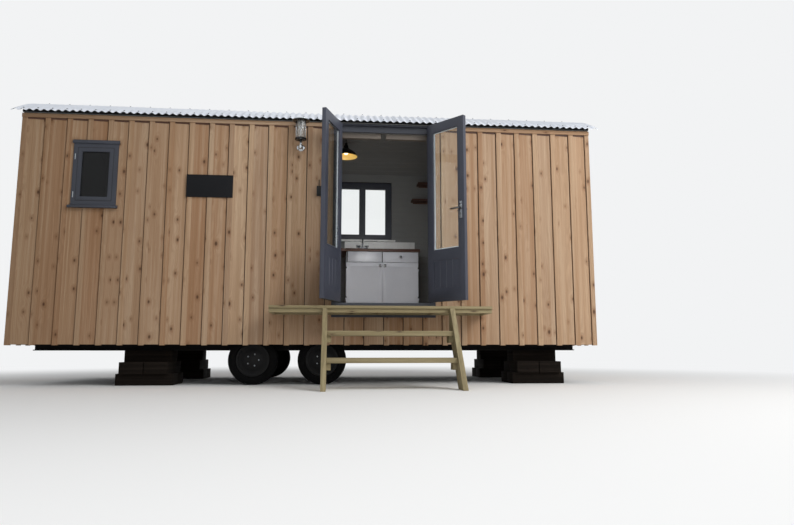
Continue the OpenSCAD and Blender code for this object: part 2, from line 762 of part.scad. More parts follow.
// Kitchen unit, drawn from the back wall: Y 0 is the wall's inner face and +Y runs to the room
module at_unit() {
    at_back() translate([unit_x, wall_t, floor_z]) children();
}

module panel(x, z0, z1) box([x, 0, z0], [x + panel_t, carcass_d, z1]);

module cupboard() color("whitesmoke") at_unit() {
    panel(0, 0, under_top);
    panel(cupboard_w - panel_t / 2, 0, under_top);
    panel(2 * cupboard_w - panel_t, 0, under_top);
    box([0, 0, plinth_h - panel_t], [2 * cupboard_w, carcass_d, plinth_h]);
    box([0, 0, plinth_h], [2 * cupboard_w, back_t, under_top - sink_h]);
    box([0, carcass_d - plinth_in - panel_t, 0], [2 * cupboard_w, carcass_d - plinth_in, plinth_h]);
    // Drawer runners
    for (x = [cupboard_w + panel_t / 2, 2 * cupboard_w - panel_t - runner_w])
        box([x, 2 * back_t, drawer_z - runner_h], [x + runner_w, carcass_d, drawer_z - seat]);
    // Lower halves of the doors' hinges
    for (side = [-1, 1]) for (z = cup_hinge_zs) at_cup_hinge(side) translate([0, 0, z]) cup_hinge_lower();
}

// Hinge axis of a cupboard door, with the door along +X
module at_cup_hinge(side) {
    translate([side < 0 ? 0 : 2 * cupboard_w, cup_hinge_y, 0]) mirror([side < 0 ? 0 : 1, 0, 0]) children();
}

module cup_hinge_lower() {
    translate([0, 0, -cup_knuckle_h]) cylinder(r = cup_hinge_r, h = cup_knuckle_h);
    cylinder(r = cup_hinge_r / 2, h = cup_knuckle_h - 3);
    box([-4, -cup_hinge_y + carcass_d - 40, -cup_knuckle_h], [-2, 0, 0]);
    box([-4, -cup_hinge_y + carcass_d - 40, -cup_knuckle_h], [1, -cup_hinge_y + carcass_d - 37, 0]);
}

module cup_hinge_upper() {
    difference() {
        translate([0, 0, seat]) cylinder(r = cup_hinge_r, h = cup_knuckle_h);
        translate([0, 0, -cut]) cylinder(r = cup_hinge_r / 2 + pin_gap, h = cup_knuckle_h + cut - 2);
    }
    box([cup_hinge_r * 0.6, -cup_hinge_out - 1, seat], [cup_hinge_r + 6, 0, cup_knuckle_h]);
}

// A framed cupboard door with its knob, drawn from its hinge axis
module cupboard_door(side) color("white") at_unit() at_cup_hinge(side) {
    translate([front_gap / 2, -cup_hinge_out - front_t, door_z0]) difference() {
        cube([cup_door_w, front_t, cup_door_h]);
        box([rail_face, front_t - 7, rail_face], [cup_door_w - rail_face, front_t + cut, cup_door_h - rail_face]);
    }
    translate([cup_door_w - 30, -cup_hinge_out, door_z0 + cup_door_h - 45]) rotate([-90, 0, 0]) knob();
    for (z = cup_hinge_zs) translate([0, 0, z]) cup_hinge_upper();
}

module knob() {
    cylinder(r = 7, h = 18);
    translate([0, 0, 14]) cylinder(r1 = 12, r2 = 15, h = 5);
    translate([0, 0, 19]) cylinder(r1 = 15, r2 = 11, h = 5);
}

module cupboard_door_left() cupboard_door(-1);

module cupboard_door_right() cupboard_door(1);

module drawer() color("white") at_unit() {
    x0 = cupboard_w + front_gap / 2;
    x1 = 2 * cupboard_w - front_gap / 2;
    bx0 = cupboard_w + panel_t / 2 + drawer_side_gap;
    bx1 = 2 * cupboard_w - panel_t - drawer_side_gap;
    box([x0, carcass_d + front_gap, drawer_z0], [x1, carcass_d + front_gap + front_t, under_top - front_gap]);
    difference() {
        box([bx0, back_t + 40, drawer_z], [bx1, carcass_d + front_gap, drawer_z + drawer_box_h]);
        box([bx0 + 12, back_t + 52, drawer_z + 8], [bx1 - 12, carcass_d - 12, drawer_z + drawer_box_h + cut]);
    }
    translate([(x0 + x1) / 2, carcass_d + front_gap + front_t, (drawer_z0 + under_top) / 2])
        rotate([-90, 0, 0]) knob();
}

module worktop() color("saddlebrown") at_unit() difference() {
    box([-top_over, 0, under_top], [2 * cupboard_w + top_over, worktop_d, worktop_h]);
    box([panel_t + sink_t, sink_y0 + sink_t, under_top - cut],
        [cupboard_w - panel_t / 2 - sink_t, sink_y1 - sink_t - 25, worktop_h + cut]);
}

module sink() color("white") at_unit() difference() {
    box([panel_t, sink_y0, under_top - sink_h], [cupboard_w - panel_t / 2, sink_y1, under_top]);
    box([panel_t + sink_t, sink_y0 + sink_t, under_top - sink_h + sink_t],
        [cupboard_w - panel_t / 2 - sink_t, sink_y1 - sink_t, under_top + cut]);
    translate([cupboard_w / 2, (sink_y0 + sink_y1) / 2, under_top - sink_h - cut]) cylinder(r = 30, h = 2 * sink_t);
}

// Mixer tap: base, riser, curved spout and two levers
module tap() color("silver") at_unit() translate([cupboard_w / 2 - 5, sink_y0 / 2, worktop_h]) {
    cylinder(r = 26, h = 10);
    cylinder(r = 14, h = riser_h);
    translate([0, spout_r, riser_h]) rotate([90, 0, 90])
        rotate_extrude(angle = 180, $fn = 64) translate([spout_r, 0]) circle(r = 11, $fn = 32);
    translate([0, 2 * spout_r, riser_h - 26]) cylinder(r = 13, h = 28);
    translate([-bar_len / 2, 0, 45]) rotate([0, 90, 0]) cylinder(r = 9, h = bar_len);
    for (s = [-1, 1]) translate([s * (bar_len / 2 - 5), 0, 45]) cylinder(r = 6, h = 35);
}

// Pendant lamp: enamelled bell shade, lamp holder, bulb and stem up to a ceiling rose
module pendant_lamp() color("black") translate([pendant_x, roof_cy, pendant_z]) {
    rotate_extrude($fn = 64) polygon([[shade_d / 2, 0], [shade_d / 2 - 8, 22], [shade_d / 2 - 40, 62], [55, 105],
        [30, 128], [30, 150], [0, 150], [0, 146], [26, 146], [26, 126], [52, 102], [shade_d / 2 - 43, 59],
        [shade_d / 2 - 11, 20], [shade_d / 2 - 3, 0]]);
    cylinder_from(150, 190, 20);
    cylinder_from(185, pendant_drop - 10, 4);
    cylinder_from(pendant_drop - 18, pendant_drop - 2 * seat, 45);
    cylinder_from(110, 147, 18);
    // Bulb, hanging from the lamp holder
    rotate_extrude($fn = 32) polygon([[0, 112], [15, 112], [17, 104], [27, 92], [30, 80], [26, 66], [16, 57], [0, 54]]);
}

module cylinder_from(z0, z1, r) translate([0, 0, z0]) cylinder(r = r, h = z1 - z0);

module wall_shelf() color("peru") at_back() translate([shelf_x, wall_t, shelf_z]) {
    cube([shelf_len, shelf_d, 25]);
    for (x = [60, shelf_len - 80]) translate([x, 0, 0]) rotate([90, 0, 90]) linear_extrude(20)
        polygon([[0, 0], [bracket_d, 0], [0, -bracket_d]]);
}

module blind_cassettes() color("whitesmoke") at_front() for (s = [0, 1])
    box([jamb_x0 + s * door_w / 2 + 2 * blind_in, wall_t, leaf_top - head_stop_h - blind_h + 35],
        [jamb_x0 + (s + 1) * door_w / 2 - 2 * blind_in, wall_t + blind_d, leaf_top - head_stop_h + 35]);

front_wall_left();
front_wall_right();
front_wall_over_door();
front_wall_under_door();
back_wall();
gable_left();
gable_right();
floor();
roof_deck();
roof_sheets_under();
roof_sheets_over();
eave_boards();
door_frame();
door_leaf_left();
door_leaf_right();
door_glass_left();
door_glass_right();
door_handle();
front_window();
front_window_glass();
back_window();
back_window_glass();
slate_plate();
porch_lantern();
porch_lantern_glass();
chassis_rails();
cross_members();
axle_left();
axle_right();
wheel_front_left();
tyre_front_left();
wheel_front_right();
tyre_front_right();
wheel_back_left();
tyre_back_left();
wheel_back_right();
tyre_back_right();
cribs_left();
cribs_right();
landing_boards();
landing_frame();
stringers();
treads();
cupboard();
cupboard_door_left();
cupboard_door_right();
drawer();
worktop();
sink();
tap();
pendant_lamp();
wall_shelf();
blind_cassettes();
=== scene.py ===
import bmesh
import bpy
import math
import random
from functools import partial
from mathutils import Matrix, Vector


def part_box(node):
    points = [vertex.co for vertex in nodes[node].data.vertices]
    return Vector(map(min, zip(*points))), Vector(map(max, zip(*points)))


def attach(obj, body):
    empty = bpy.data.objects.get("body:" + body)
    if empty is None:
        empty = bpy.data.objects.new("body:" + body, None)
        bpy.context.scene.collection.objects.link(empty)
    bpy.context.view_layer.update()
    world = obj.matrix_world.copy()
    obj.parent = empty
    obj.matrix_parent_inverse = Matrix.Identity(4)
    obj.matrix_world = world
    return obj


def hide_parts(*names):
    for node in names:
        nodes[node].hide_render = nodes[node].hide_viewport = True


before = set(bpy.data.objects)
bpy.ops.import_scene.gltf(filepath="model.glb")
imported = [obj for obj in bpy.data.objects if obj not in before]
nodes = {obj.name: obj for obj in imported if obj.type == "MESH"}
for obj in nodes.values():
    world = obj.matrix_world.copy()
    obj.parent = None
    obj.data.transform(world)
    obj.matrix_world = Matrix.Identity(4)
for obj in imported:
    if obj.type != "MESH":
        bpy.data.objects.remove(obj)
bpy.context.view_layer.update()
mm = 0.001
print("stage: frame loaded,", len(nodes), "solids")


# the camera, as the photo was taken
view = {
    "lens": 28.991,  # mm
    "sensor": 36.0,  # mm, over the picture's width
    "place": (0.2206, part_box("front_wall_left")[0].y - 7.1257, 0.3700),  # m
    "turn": (97.864, 0.034, -5.593),  # degrees about X, Y and Z
    "reach": 200.0,  # m
}
cameraData = bpy.data.cameras.new("photoCamera")
cameraData.lens = view["lens"]
cameraData.sensor_width = view["sensor"]
cameraData.sensor_fit = "HORIZONTAL"
cameraData.clip_end = view["reach"]
camera = bpy.data.objects.new("photoCamera", cameraData)
camera.location = view["place"]
camera.rotation_euler = [math.radians(a) for a in view["turn"]]
bpy.context.scene.collection.objects.link(camera)
bpy.context.scene.camera = camera
bpy.context.scene.view_settings.view_transform = "Standard"


# nodes and colours
def linear(hexColour):
    channels = [int(hexColour[i:i + 2], 16) / 255 for i in (1, 3, 5)]
    return tuple(c / 12.92 if c <= 0.04045 else ((c + 0.055) / 1.055) ** 2.4 for c in channels) + (1.0,)


def feed(node, inputs):
    # each input gets a value, a socket, a node's first output, or a list of these
    for key, given in inputs.items():
        for value in given if isinstance(given, list) else [given]:
            if isinstance(value, bpy.types.Node):
                value = value.outputs[0]
            if isinstance(value, bpy.types.NodeSocket):
                node.id_data.links.new(value, node.inputs[key])
            else:
                node.inputs[key].default_value = value


def addNode(tree, kind, inputs=None, stops=None, **settings):
    # a short kind is a shader node; the settings go first, because they decide which sockets there are
    node = tree.nodes.new(kind if "Node" in kind else "ShaderNode" + kind)
    for key, value in settings.items():
        setattr(node, key, value)
    feed(node, inputs or {})
    if stops:
        while len(node.color_ramp.elements) < len(stops):
            node.color_ramp.elements.new(0.5)
        for element, (position, colour) in zip(node.color_ramp.elements, stops):
            element.position = position
            element.color = linear(colour)
    return node


def newSurface(name, inputs):
    material = bpy.data.materials.new(name)
    material.use_nodes = True
    material.node_tree.nodes.clear()
    add = partial(addNode, material.node_tree)
    shader = add("BsdfPrincipled", inputs)
    add("OutputMaterial", {"Surface": shader})
    return material, add, shader


# lights, floor and backdrop
studio = {
    "sky": "#F4F7FB",
    "skyEdge": 0.12,  # the light that comes from near the horizon
    "skyTop": 0.56,
    "skyFull": 0.8,  # the height at which the sky has its full light, 1 being overhead
    "backdrop": "#F2F3F4",
    "floor": [(0.3, "#EFEEEB"), (0.7, "#F3F2F0")],
    "floorHalf": 60,  # m
    "floorDrop": 0.001,  # m
    "fadeFrom": 3.5,  # m from the hut's middle
    "fadeTo": 9.0,
}
frameLow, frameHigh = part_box("door_frame")
doorway = ((frameLow.x + frameHigh.x) / 2, frameHigh.y + 0.02, 1.9)
lamps = {  # places, sizes and targets in m, power in W
    "keyLamp": {"place": (6.8, -7.0, 6.2), "size": 6.5, "power": 650, "target": (0.6, 0.0, 1.5)},
    "fillLamp": {"place": (1.0, -9.0, 1.6), "size": 3.0, "power": 60, "target": (0.8, 0.0, 1.5)},
    "roomLamp": {"place": doorway, "size": 0.95, "power": 9.5,
                 "target": (doorway[0], doorway[1] + 1.0, 1.45)},
}
world = bpy.data.worlds.new("studioWorld")
bpy.context.scene.world = world
world.use_nodes = True
world.node_tree.nodes.clear()
add = partial(addNode, world.node_tree)
rays = add("LightPath").outputs
seen = add("Math", {0: rays["Is Camera Ray"], 1: rays["Is Glossy Ray"]}, operation="MAXIMUM")
seen = add("Math", {0: seen, 1: rays["Is Transmission Ray"]}, operation="MAXIMUM")
height = add("SeparateXYZ", {0: add("TexCoord").outputs["Generated"]}).outputs[2]
strength = add("MapRange", {0: height, 1: 0.0, 2: studio["skyFull"], 3: studio["skyEdge"],
                            4: studio["skyTop"]})
skyLight = add("Background", {"Color": linear(studio["sky"]), "Strength": strength})
backdrop = add("Background", {"Color": linear(studio["backdrop"]), "Strength": 1.0})
add("OutputWorld", {"Surface": add("MixShader", {0: seen, 1: skyLight, 2: backdrop})})
for name, look in lamps.items():
    data = bpy.data.lights.new(name, "AREA")
    data.shape = "DISK"
    data.size = look["size"]
    data.energy = look["power"]
    lamp = bpy.data.objects.new(name, data)
    lamp.location = look["place"]
    lamp.rotation_euler = (Vector(look["target"]) - Vector(look["place"])).to_track_quat("-Z", "Y").to_euler()
    bpy.context.scene.collection.objects.link(lamp)

floorMesh = bpy.data.meshes.new("studioFloor")
corners = [(x * studio["floorHalf"], y * studio["floorHalf"], 0)
           for x, y in ((-1, -1), (1, -1), (1, 1), (-1, 1))]
floorMesh.from_pydata(corners, [], [(0, 1, 2, 3)])
studioFloor = bpy.data.objects.new("studioFloor", floorMesh)
studioFloor.location.z = -studio["floorDrop"]
bpy.context.scene.collection.objects.link(studioFloor)
floorMaterial, add, shader = newSurface("paleFloor", {"Roughness": 0.9})
noise = add("TexNoise", {"Scale": 6.0, "Detail": 3.0})
feed(shader, {"Base Color": add("ValToRGB", {0: noise}, stops=studio["floor"])})
# far from the hut the floor fades into the backdrop, for the camera alone
farOff = add("VectorMath", {0: add("TexCoord").outputs["Object"]}, operation="LENGTH").outputs["Value"]
fade = add("MapRange", {0: farOff, 1: studio["fadeFrom"], 2: studio["fadeTo"]},
           interpolation_type="SMOOTHSTEP")
fade = add("Math", {0: fade, 1: add("LightPath").outputs["Is Camera Ray"]}, operation="MULTIPLY")
farFloor = add("Emission", {"Color": linear(studio["backdrop"]), "Strength": 1.0})
output = shader.outputs[0].links[0].to_node
feed(output, {"Surface": add("MixShader", {0: fade, 1: shader, 2: farFloor})})
floorMesh.materials.append(floorMaterial)
print("stage: camera, lights and floor")


# materials
timber = {  # what all the woods share; stretches are per metre along and across the grain
    "bends": (0.55, 7.0, 1.0),
    "fibres": (9.0, 420.0, 1.0),
    "streaks": (0.5, 24.0, 1.0),
    "streakStops": (0.3, 0.5, 0.7),
    "knotReach": 0.16,  # how far round a knot the rings bend, in knot spacings
    "knotPull": 45.0,  # and by how many rings, for a knot of size 1
    "leastKnot": 0.012,
    "ringFrom": (-0.4, 1.0),  # the part of each ring's wave that shows
    "fibreFrom": (0.35, 0.75),
    "halo": (-0.01, 0.55),  # where it is full, past the knot's edge, and how strong
    "core": (-0.05, 0.015, 0.95),  # where it is full, where it ends, and how strong
    "fibreRelief": 0.6,
    "relief": 0.0006,  # m
}
coat = {  # what all the plain surfaces share
    "speckFrom": (0.45, 0.75),
    "roughFrom": (0.3, 0.7),
    "smoother": 0.85,
    "rougher": 1.2,
    "relief": 0.0003,  # m
}
dustFrom = (0.4, 0.7)


def woodSurface(name, look):
    # grain, rings and knots follow each board's own UV map, in metres along and across the grain
    material, add, shader = newSurface(name, {"Roughness": look["roughness"],
                                              "Specular IOR Level": look.get("specular", 0.35)})
    metres = add("UVMap", uv_map="boardMetres")
    knotCell = add("Mapping", {0: metres, 3: (1 / look["knotAlong"], 1 / look["knotAcross"], 1.0)})
    knots = add("TexVoronoi", {"Vector": knotCell, "Scale": 1.0, "Randomness": 0.9},
                voronoi_dimensions="2D").outputs
    knotSize = add("MapRange", {0: knots["Color"], 1: look.get("clear", 0.35), 2: 0.9, 3: 0.0,
                                4: look["knotSize"]})
    pull = add("Math", {0: knots["Distance"], 1: timber["knotReach"]}, operation="DIVIDE")
    pull = add("Math", {0: pull, 1: 2.0}, operation="POWER")
    pull = add("Math", {0: pull, 1: 1.0}, operation="ADD")
    pull = add("Math", {0: knotSize, 1: pull}, operation="DIVIDE")
    drift, fibres, streaks = (
        add("TexNoise", {"Vector": add("Mapping", {0: metres, 3: timber[stretch]}), "Scale": 1.0,
                         "Detail": detail, "Roughness": rough}, noise_dimensions="2D")
        for stretch, detail, rough in (("bends", 2.0, 0.5), ("fibres", 4.0, 0.65), ("streaks", 3.0, 0.5)))
    ring = add("SeparateXYZ", {0: metres}).outputs[1]
    ring = add("Math", {0: ring, 1: 1000 / look["ringMm"]}, operation="MULTIPLY")
    ring = add("Math", {0: drift, 1: look.get("drift", 9.0), 2: ring}, operation="MULTIPLY_ADD")
    ring = add("Math", {0: pull, 1: timber["knotPull"], 2: ring}, operation="MULTIPLY_ADD")
    ring = add("Math", {0: ring, 1: 2 * math.pi}, operation="MULTIPLY")
    low, high = timber["ringFrom"]
    ring = add("MapRange", {0: add("Math", {0: ring}, operation="SINE"), 1: low, 2: high, 3: 0.0, 4: 1.0})
    ringShare = add("Math", {0: ring, 1: look["ringShare"]}, operation="MULTIPLY")
    low, high = timber["fibreFrom"]
    fibreShare = add("MapRange", {0: fibres, 1: low, 2: high, 3: 0.0, 4: look["fibreShare"]})
    # a knot has a dark core and a stained halo
    reach = add("Math", {0: knots["Distance"], 1: knotSize}, operation="SUBTRACT")
    hasKnot = add("Math", {0: knotSize, 1: timber["leastKnot"]}, operation="GREATER_THAN")
    full, most = timber["halo"]
    stain = (full, look.get("haloReach", 0.10), most)
    halo, core = (add("Math", {0: add("MapRange", {0: reach, 1: full, 2: gone, 3: most, 4: 0.0}), 1: hasKnot},
                      operation="MULTIPLY")
                  for full, gone, most in (stain, timber["core"]))
    tone = add("Attribute", attribute_name="boardTone").outputs["Fac"]
    colour = add("ValToRGB", {0: tone}, stops=look["tones"])
    streakColour = add("ValToRGB", {0: streaks}, stops=list(zip(timber["streakStops"], look["streaks"])))
    late = linear(look["late"])
    for share, over in ((look.get("streakShare", 0.55), streakColour), (ringShare, late), (fibreShare, late),
                        (halo, linear(look["halo"])), (core, linear(look["knot"]))):
        colour = add("Mix", {0: share, 6: colour, 7: over}, data_type="RGBA").outputs[2]
    if "leftEndShade" in look:
        # painted shade: the boards' colour is darkened and browned towards the left end, where shade falls
        full, gone, leftShadeTint = look["leftEndShade"]
        across = add("SeparateXYZ", {0: add("TexCoord").outputs["Object"]})
        share = add("MapRange", {0: across, 1: full, 2: gone, 3: 1.0, 4: 0.0})
        colour = add("Mix", {0: share, 6: colour, 7: linear(leftShadeTint)}, data_type="RGBA",
                     blend_type="MULTIPLY").outputs[2]
    height = add("Math", {0: fibres, 1: timber["fibreRelief"], 2: ringShare}, operation="MULTIPLY_ADD")
    bump = add("Bump", {"Strength": look.get("bump", 0.35), "Distance": timber["relief"], "Height": height})
    feed(shader, {"Base Color": colour, "Normal": bump})
    return material


def plainSurface(name, look):
    # paint, enamel, stone and metal: two shades that drift slowly, fine texture, worn or dusty specks
    material, add, shader = newSurface(name, {
        "Roughness": look["roughness"], "Metallic": look.get("metallic", 0.0), **look.get("shader", {})})
    place = add("TexCoord").outputs["Object"]
    if "stretch" in look:
        place = add("Mapping", {0: place, 3: look["stretch"]})
    slow, fine = (add("TexNoise", {"Vector": place, "Scale": 1000 / look[size], "Detail": detail})
                  for size, detail in (("driftMm", 4.0), ("fineMm", 3.0)))
    dark, light, worn = look["colours"]
    darkStop, lightStop = look.get("stops", (0.3, 0.7))
    drift = add("ValToRGB", {0: slow}, stops=[(darkStop, dark), (lightStop, light)])
    low, high = coat["speckFrom"]
    speck = add("MapRange", {0: fine, 1: low, 2: high, 3: 0.0, 4: look.get("speck", 0.15)})
    colour = add("Mix", {0: speck, 6: drift, 7: linear(worn)}, data_type="RGBA").outputs[2]
    low, high = coat["roughFrom"]
    rough = add("MapRange", {0: slow, 1: low, 2: high, 3: look["roughness"] * coat["smoother"],
                             4: min(1.0, look["roughness"] * coat["rougher"])})
    bump = add("Bump", {"Strength": look.get("bump", 0.2), "Distance": coat["relief"], "Height": fine})
    feed(shader, {"Base Color": colour, "Roughness": rough, "Normal": bump})
    return material


def glassSurface(name, look):
    # a clear shader with a little dust, which dulls it in places
    material, add, shader = newSurface(name, {
        "Roughness": look["roughness"], "IOR": look["ior"], "Transmission Weight": look["clear"],
        "Base Color": linear(look["colour"])})
    dust = add("TexNoise", {"Vector": add("TexCoord").outputs["Object"], "Scale": 5.0, "Detail": 5.0})
    (low, high), (wiped, dusty) = dustFrom, look["dust"]
    feed(shader, {"Roughness": add("MapRange", {0: dust, 1: low, 2: high, 3: wiped, 4: dusty})})
    return material


# planed larch, unfinished: tan boards that differ in tone, brown knots with stained halos
larch = woodSurface("planedLarch", {
    "roughness": 0.66, "specular": 0.25, "knotAlong": 0.27, "knotAcross": 0.16, "knotSize": 0.105,
    "clear": 0.30, "haloReach": 0.17, "ringMm": 26.0, "ringShare": 0.20, "fibreShare": 0.25,
    "streakShare": 0.42, "bump": 0.4,
    "tones": [(0.0, "#A17C5E"), (0.2, "#B99A7C"), (0.45, "#A68A72"), (0.7, "#C0A385"), (0.85, "#B18C6C"),
              (1.0, "#9C7455")],
    "streaks": ("#93714F", "#AF9173", "#C6AF93"), "late": "#84644A", "halo": "#7F593C", "knot": "#553A29",
    "leftEndShade": (-3.3, -0.6, "#E0DBD4"),  # m along the hut, and the painted shade's colour that the boards are multiplied by
})
# pressure-treated softwood, weathered: green-grey tan with fine checks
treated = woodSurface("treatedSoftwood", {
    "roughness": 0.78, "knotAlong": 0.42, "knotAcross": 0.14, "knotSize": 0.09, "ringMm": 11.0,
    "ringShare": 0.42, "fibreShare": 0.5, "drift": 5.0, "bump": 0.6,
    "tones": [(0.0, "#8D8163"), (0.5, "#9A8E6C"), (1.0, "#A4946F")],
    "streaks": ("#7E7253", "#988B69", "#B0A380"), "late": "#6C5F45", "halo": "#6A5640", "knot": "#43352A",
})
# old railway sleepers, tarred and weathered almost black
sleeper = woodSurface("tarredSleeper", {
    "roughness": 0.85, "specular": 0.06, "knotAlong": 0.6, "knotAcross": 0.3, "knotSize": 0.05, "ringMm": 9.0,
    "ringShare": 0.4, "fibreShare": 0.7, "bump": 1.0,
    "tones": [(0.0, "#181411"), (0.5, "#1E1915"), (1.0, "#26201B")],
    "streaks": ("#120F0D", "#1E1915", "#302924"), "late": "#0F0C0A", "halo": "#171210", "knot": "#100C0A",
})
# oiled hardwood worktop, red-brown with dark pores
worktopWood = woodSurface("oiledHardwood", {
    "roughness": 0.5, "specular": 0.3, "knotAlong": 3.0, "knotAcross": 2.0, "knotSize": 0.004, "ringMm": 16.0,
    "ringShare": 0.4, "fibreShare": 0.55, "bump": 0.15,
    "tones": [(0.0, "#4E342A"), (0.5, "#5A3D31"), (1.0, "#654739")],
    "streaks": ("#432C24", "#583C30", "#6B4D3D"), "late": "#33211B", "halo": "#33211B", "knot": "#241713",
})
# laid oak-brown floor boards under satin varnish
floorWood = woodSurface("varnishedFloorboard", {
    "roughness": 0.34, "specular": 0.5, "knotAlong": 0.9, "knotAcross": 0.3, "knotSize": 0.03, "ringMm": 15.0,
    "ringShare": 0.35, "fibreShare": 0.4, "bump": 0.15,
    "tones": [(0.0, "#8F6B48"), (0.5, "#9C7752"), (1.0, "#A9845C")],
    "streaks": ("#855F3E", "#9B7550", "#B08D66"), "late": "#6B4A2F", "halo": "#6B4A2F", "knot": "#3E2A1C",
})
# corrugated steel sheet, hot-dip galvanised: pale blue-grey zinc with a faint spangle
galvanised = plainSurface("galvanisedSheet", {
    "roughness": 0.42, "metallic": 0.3, "driftMm": 260.0, "fineMm": 22.0, "speck": 0.35, "bump": 0.12,
    "stops": (0.3, 0.6), "colours": ("#D0D6E0", "#E0E4EC", "#F0F2F6"),
})
# their underside, dark as painted shade: it makes the eave's wavy edge read dark from below
sheetUnderside = plainSurface("paintedShadeUnderside", {
    "roughness": 0.8, "driftMm": 200.0, "fineMm": 9.0, "speck": 0.2,
    "colours": ("#141517", "#1C1D20", "#2A2B2E"),
})
screwSteel = plainSurface("zincPlatedSteel", {
    "roughness": 0.35, "metallic": 1.0, "driftMm": 20.0, "fineMm": 2.0,
    "colours": ("#8F959A", "#A9AEB2", "#C4C8CB"),
})
# the roof screws' heads and sealing washers are dark against the zinc
roofScrewRubber = plainSurface("greyScrewCap", {
    "roughness": 0.6, "driftMm": 20.0, "fineMm": 2.0, "colours": ("#33353B", "#41444B", "#565961"),
})
# sprayed joinery paint, satin slate grey over primed softwood
slatePaint = plainSurface("satinSlatePaint", {
    "roughness": 0.48, "driftMm": 420.0, "fineMm": 5.0, "speck": 0.10, "bump": 0.15,
    "colours": ("#353840", "#3D4049", "#4B4E58"), "shader": {"Specular IOR Level": 0.35},
})
# the same paint on the door leaves, made lighter and bluer as painted light, for the sky light they catch
litLeafPaint = plainSurface("satinSlatePaintLitCopy", {
    "roughness": 0.42, "driftMm": 420.0, "fineMm": 5.0, "speck": 0.10, "bump": 0.15,
    "colours": ("#3A3D48", "#434652", "#525563"), "shader": {"Specular IOR Level": 0.45},
})
# black rubber for the key box and the window's seal; the same black is painted shade on the cores seen
# through gaps, and beside the sink
blackRubberAndShade = plainSurface("mouldedRubberAndPaintedShade", {
    "roughness": 0.7, "driftMm": 120.0, "fineMm": 2.0, "colours": ("#101012", "#18181A", "#29292B"),
})
# brushed stainless steel, streaked upwards
stainless = plainSurface("brushedStainless", {
    "roughness": 0.22, "metallic": 1.0, "driftMm": 60.0, "fineMm": 1.5, "speck": 0.3, "bump": 0.05,
    "stretch": (1.0, 1.0, 0.15), "colours": ("#B9BDC0", "#CDD0D3", "#E4E6E8"),
})
chrome = plainSurface("polishedChrome", {
    "roughness": 0.08, "metallic": 1.0, "driftMm": 90.0, "fineMm": 6.0, "speck": 0.1, "bump": 0.01,
    "colours": ("#74777C", "#808388", "#A0A3A8"),
})
# riven roofing slate, rubbed flat: near black with a silky grey bloom
slateStone = plainSurface("rubbedSlate", {
    "roughness": 0.62, "driftMm": 90.0, "fineMm": 3.0, "speck": 0.25, "bump": 0.25,
    "colours": ("#0F0F12", "#151619", "#26282C"), "shader": {"Specular IOR Level": 0.15},
})
# chassis paint with rust coming through in specks
blackSteel = plainSurface("blackChassisPaint", {
    "roughness": 0.6, "driftMm": 160.0, "fineMm": 7.0, "speck": 0.35, "bump": 0.4, "stops": (0.35, 0.75),
    "colours": ("#0B0B0D", "#161412", "#32251C"), "shader": {"Specular IOR Level": 0.15},
})
rimPaint = plainSurface("agedRimPaint", {
    "roughness": 0.6, "driftMm": 70.0, "fineMm": 5.0, "speck": 0.4, "bump": 0.3,
    "colours": ("#101112", "#18191B", "#2A221A"), "shader": {"Specular IOR Level": 0.15},
})
tyreRubber = plainSurface("dustyTyreRubber", {
    "roughness": 0.85, "driftMm": 90.0, "fineMm": 3.0, "speck": 0.4, "bump": 0.3,
    "colours": ("#09090A", "#0F0F10", "#1C1A18"), "shader": {"Specular IOR Level": 0.06},
})
# matt emulsion on tongued boards, pale warm grey, darkened to mid grey as painted shade for the dim room
shadeDarkenedLiningPaint = plainSurface("mattLiningPaintShadeDarkened", {
    "roughness": 0.75, "driftMm": 500.0, "fineMm": 4.0, "speck": 0.12, "bump": 0.15,
    "colours": ("#757675", "#7E7F7D", "#6B6C6A"),
})
# white gloss on the splashback and window board, the lightest thing in the room
whiteGloss = plainSurface("whiteGlossPaint", {
    "roughness": 0.3, "driftMm": 400.0, "fineMm": 4.0, "speck": 0.08, "bump": 0.08,
    "colours": ("#DEDEDC", "#E8E8E6", "#D0D0CD"),
})
cabinetPaint = plainSurface("eggshellCabinetPaint", {
    "roughness": 0.45, "driftMm": 380.0, "fineMm": 4.0, "speck": 0.10, "bump": 0.1,
    "colours": ("#BFC2CA", "#C8CBD2", "#B3B6BE"),
})
glazedClay = plainSurface("glazedFireclay", {
    "roughness": 0.28, "driftMm": 300.0, "fineMm": 12.0, "speck": 0.05, "bump": 0.03,
    "colours": ("#B9BCC4", "#C2C5CC", "#AFB2BA"), "shader": {"Coat Weight": 0.12},
})
blackEnamel = plainSurface("stovedBlackEnamel", {
    "roughness": 0.2, "driftMm": 120.0, "fineMm": 6.0, "speck": 0.1, "bump": 0.05,
    "colours": ("#0E0E10", "#141416", "#202023"),
})
# painted light: the shade's cream enamel inside is given a glow, standing in for the light of its bulb
creamEnamel = plainSurface("creamEnamel", {
    "roughness": 0.3, "driftMm": 120.0, "fineMm": 6.0, "speck": 0.1, "bump": 0.05,
    "colours": ("#E3C985", "#EBD79C", "#D3B56C"),
    "shader": {"Emission Color": linear("#E3B85A"), "Emission Strength": 0.30},
})
aluminium = plainSurface("millAluminium", {
    "roughness": 0.3, "metallic": 1.0, "driftMm": 90.0, "fineMm": 3.0,
    "colours": ("#DCE2E8", "#E8ECF0", "#F4F6F8"),
})
# woven blind cloth, beige, darkened to grey-brown as painted shade, as it hangs in the room's shade
shadeDarkenedBlindFabric = plainSurface("wovenBlindClothShadeDarkened", {
    "roughness": 0.9, "driftMm": 300.0, "fineMm": 1.2, "speck": 0.3, "bump": 0.4,
    "colours": ("#6F675F", "#797068", "#625B54"),
})
# float glass in the doors and the back window, thin enough to bend no view
paneGlass = glassSurface("floatGlass", {
    "roughness": 0.01, "ior": 1.22, "clear": 1.0, "colour": "#FBFDFC", "dust": (0.004, 0.02)})
# the front window's glass is tinted grey as painted shade, so the room behind it stays dark
shadeDarkenedGlass = glassSurface("greyShadeGlass", {
    "roughness": 0.02, "ior": 1.3, "clear": 1.0, "colour": "#6A7076", "dust": (0.01, 0.03)})
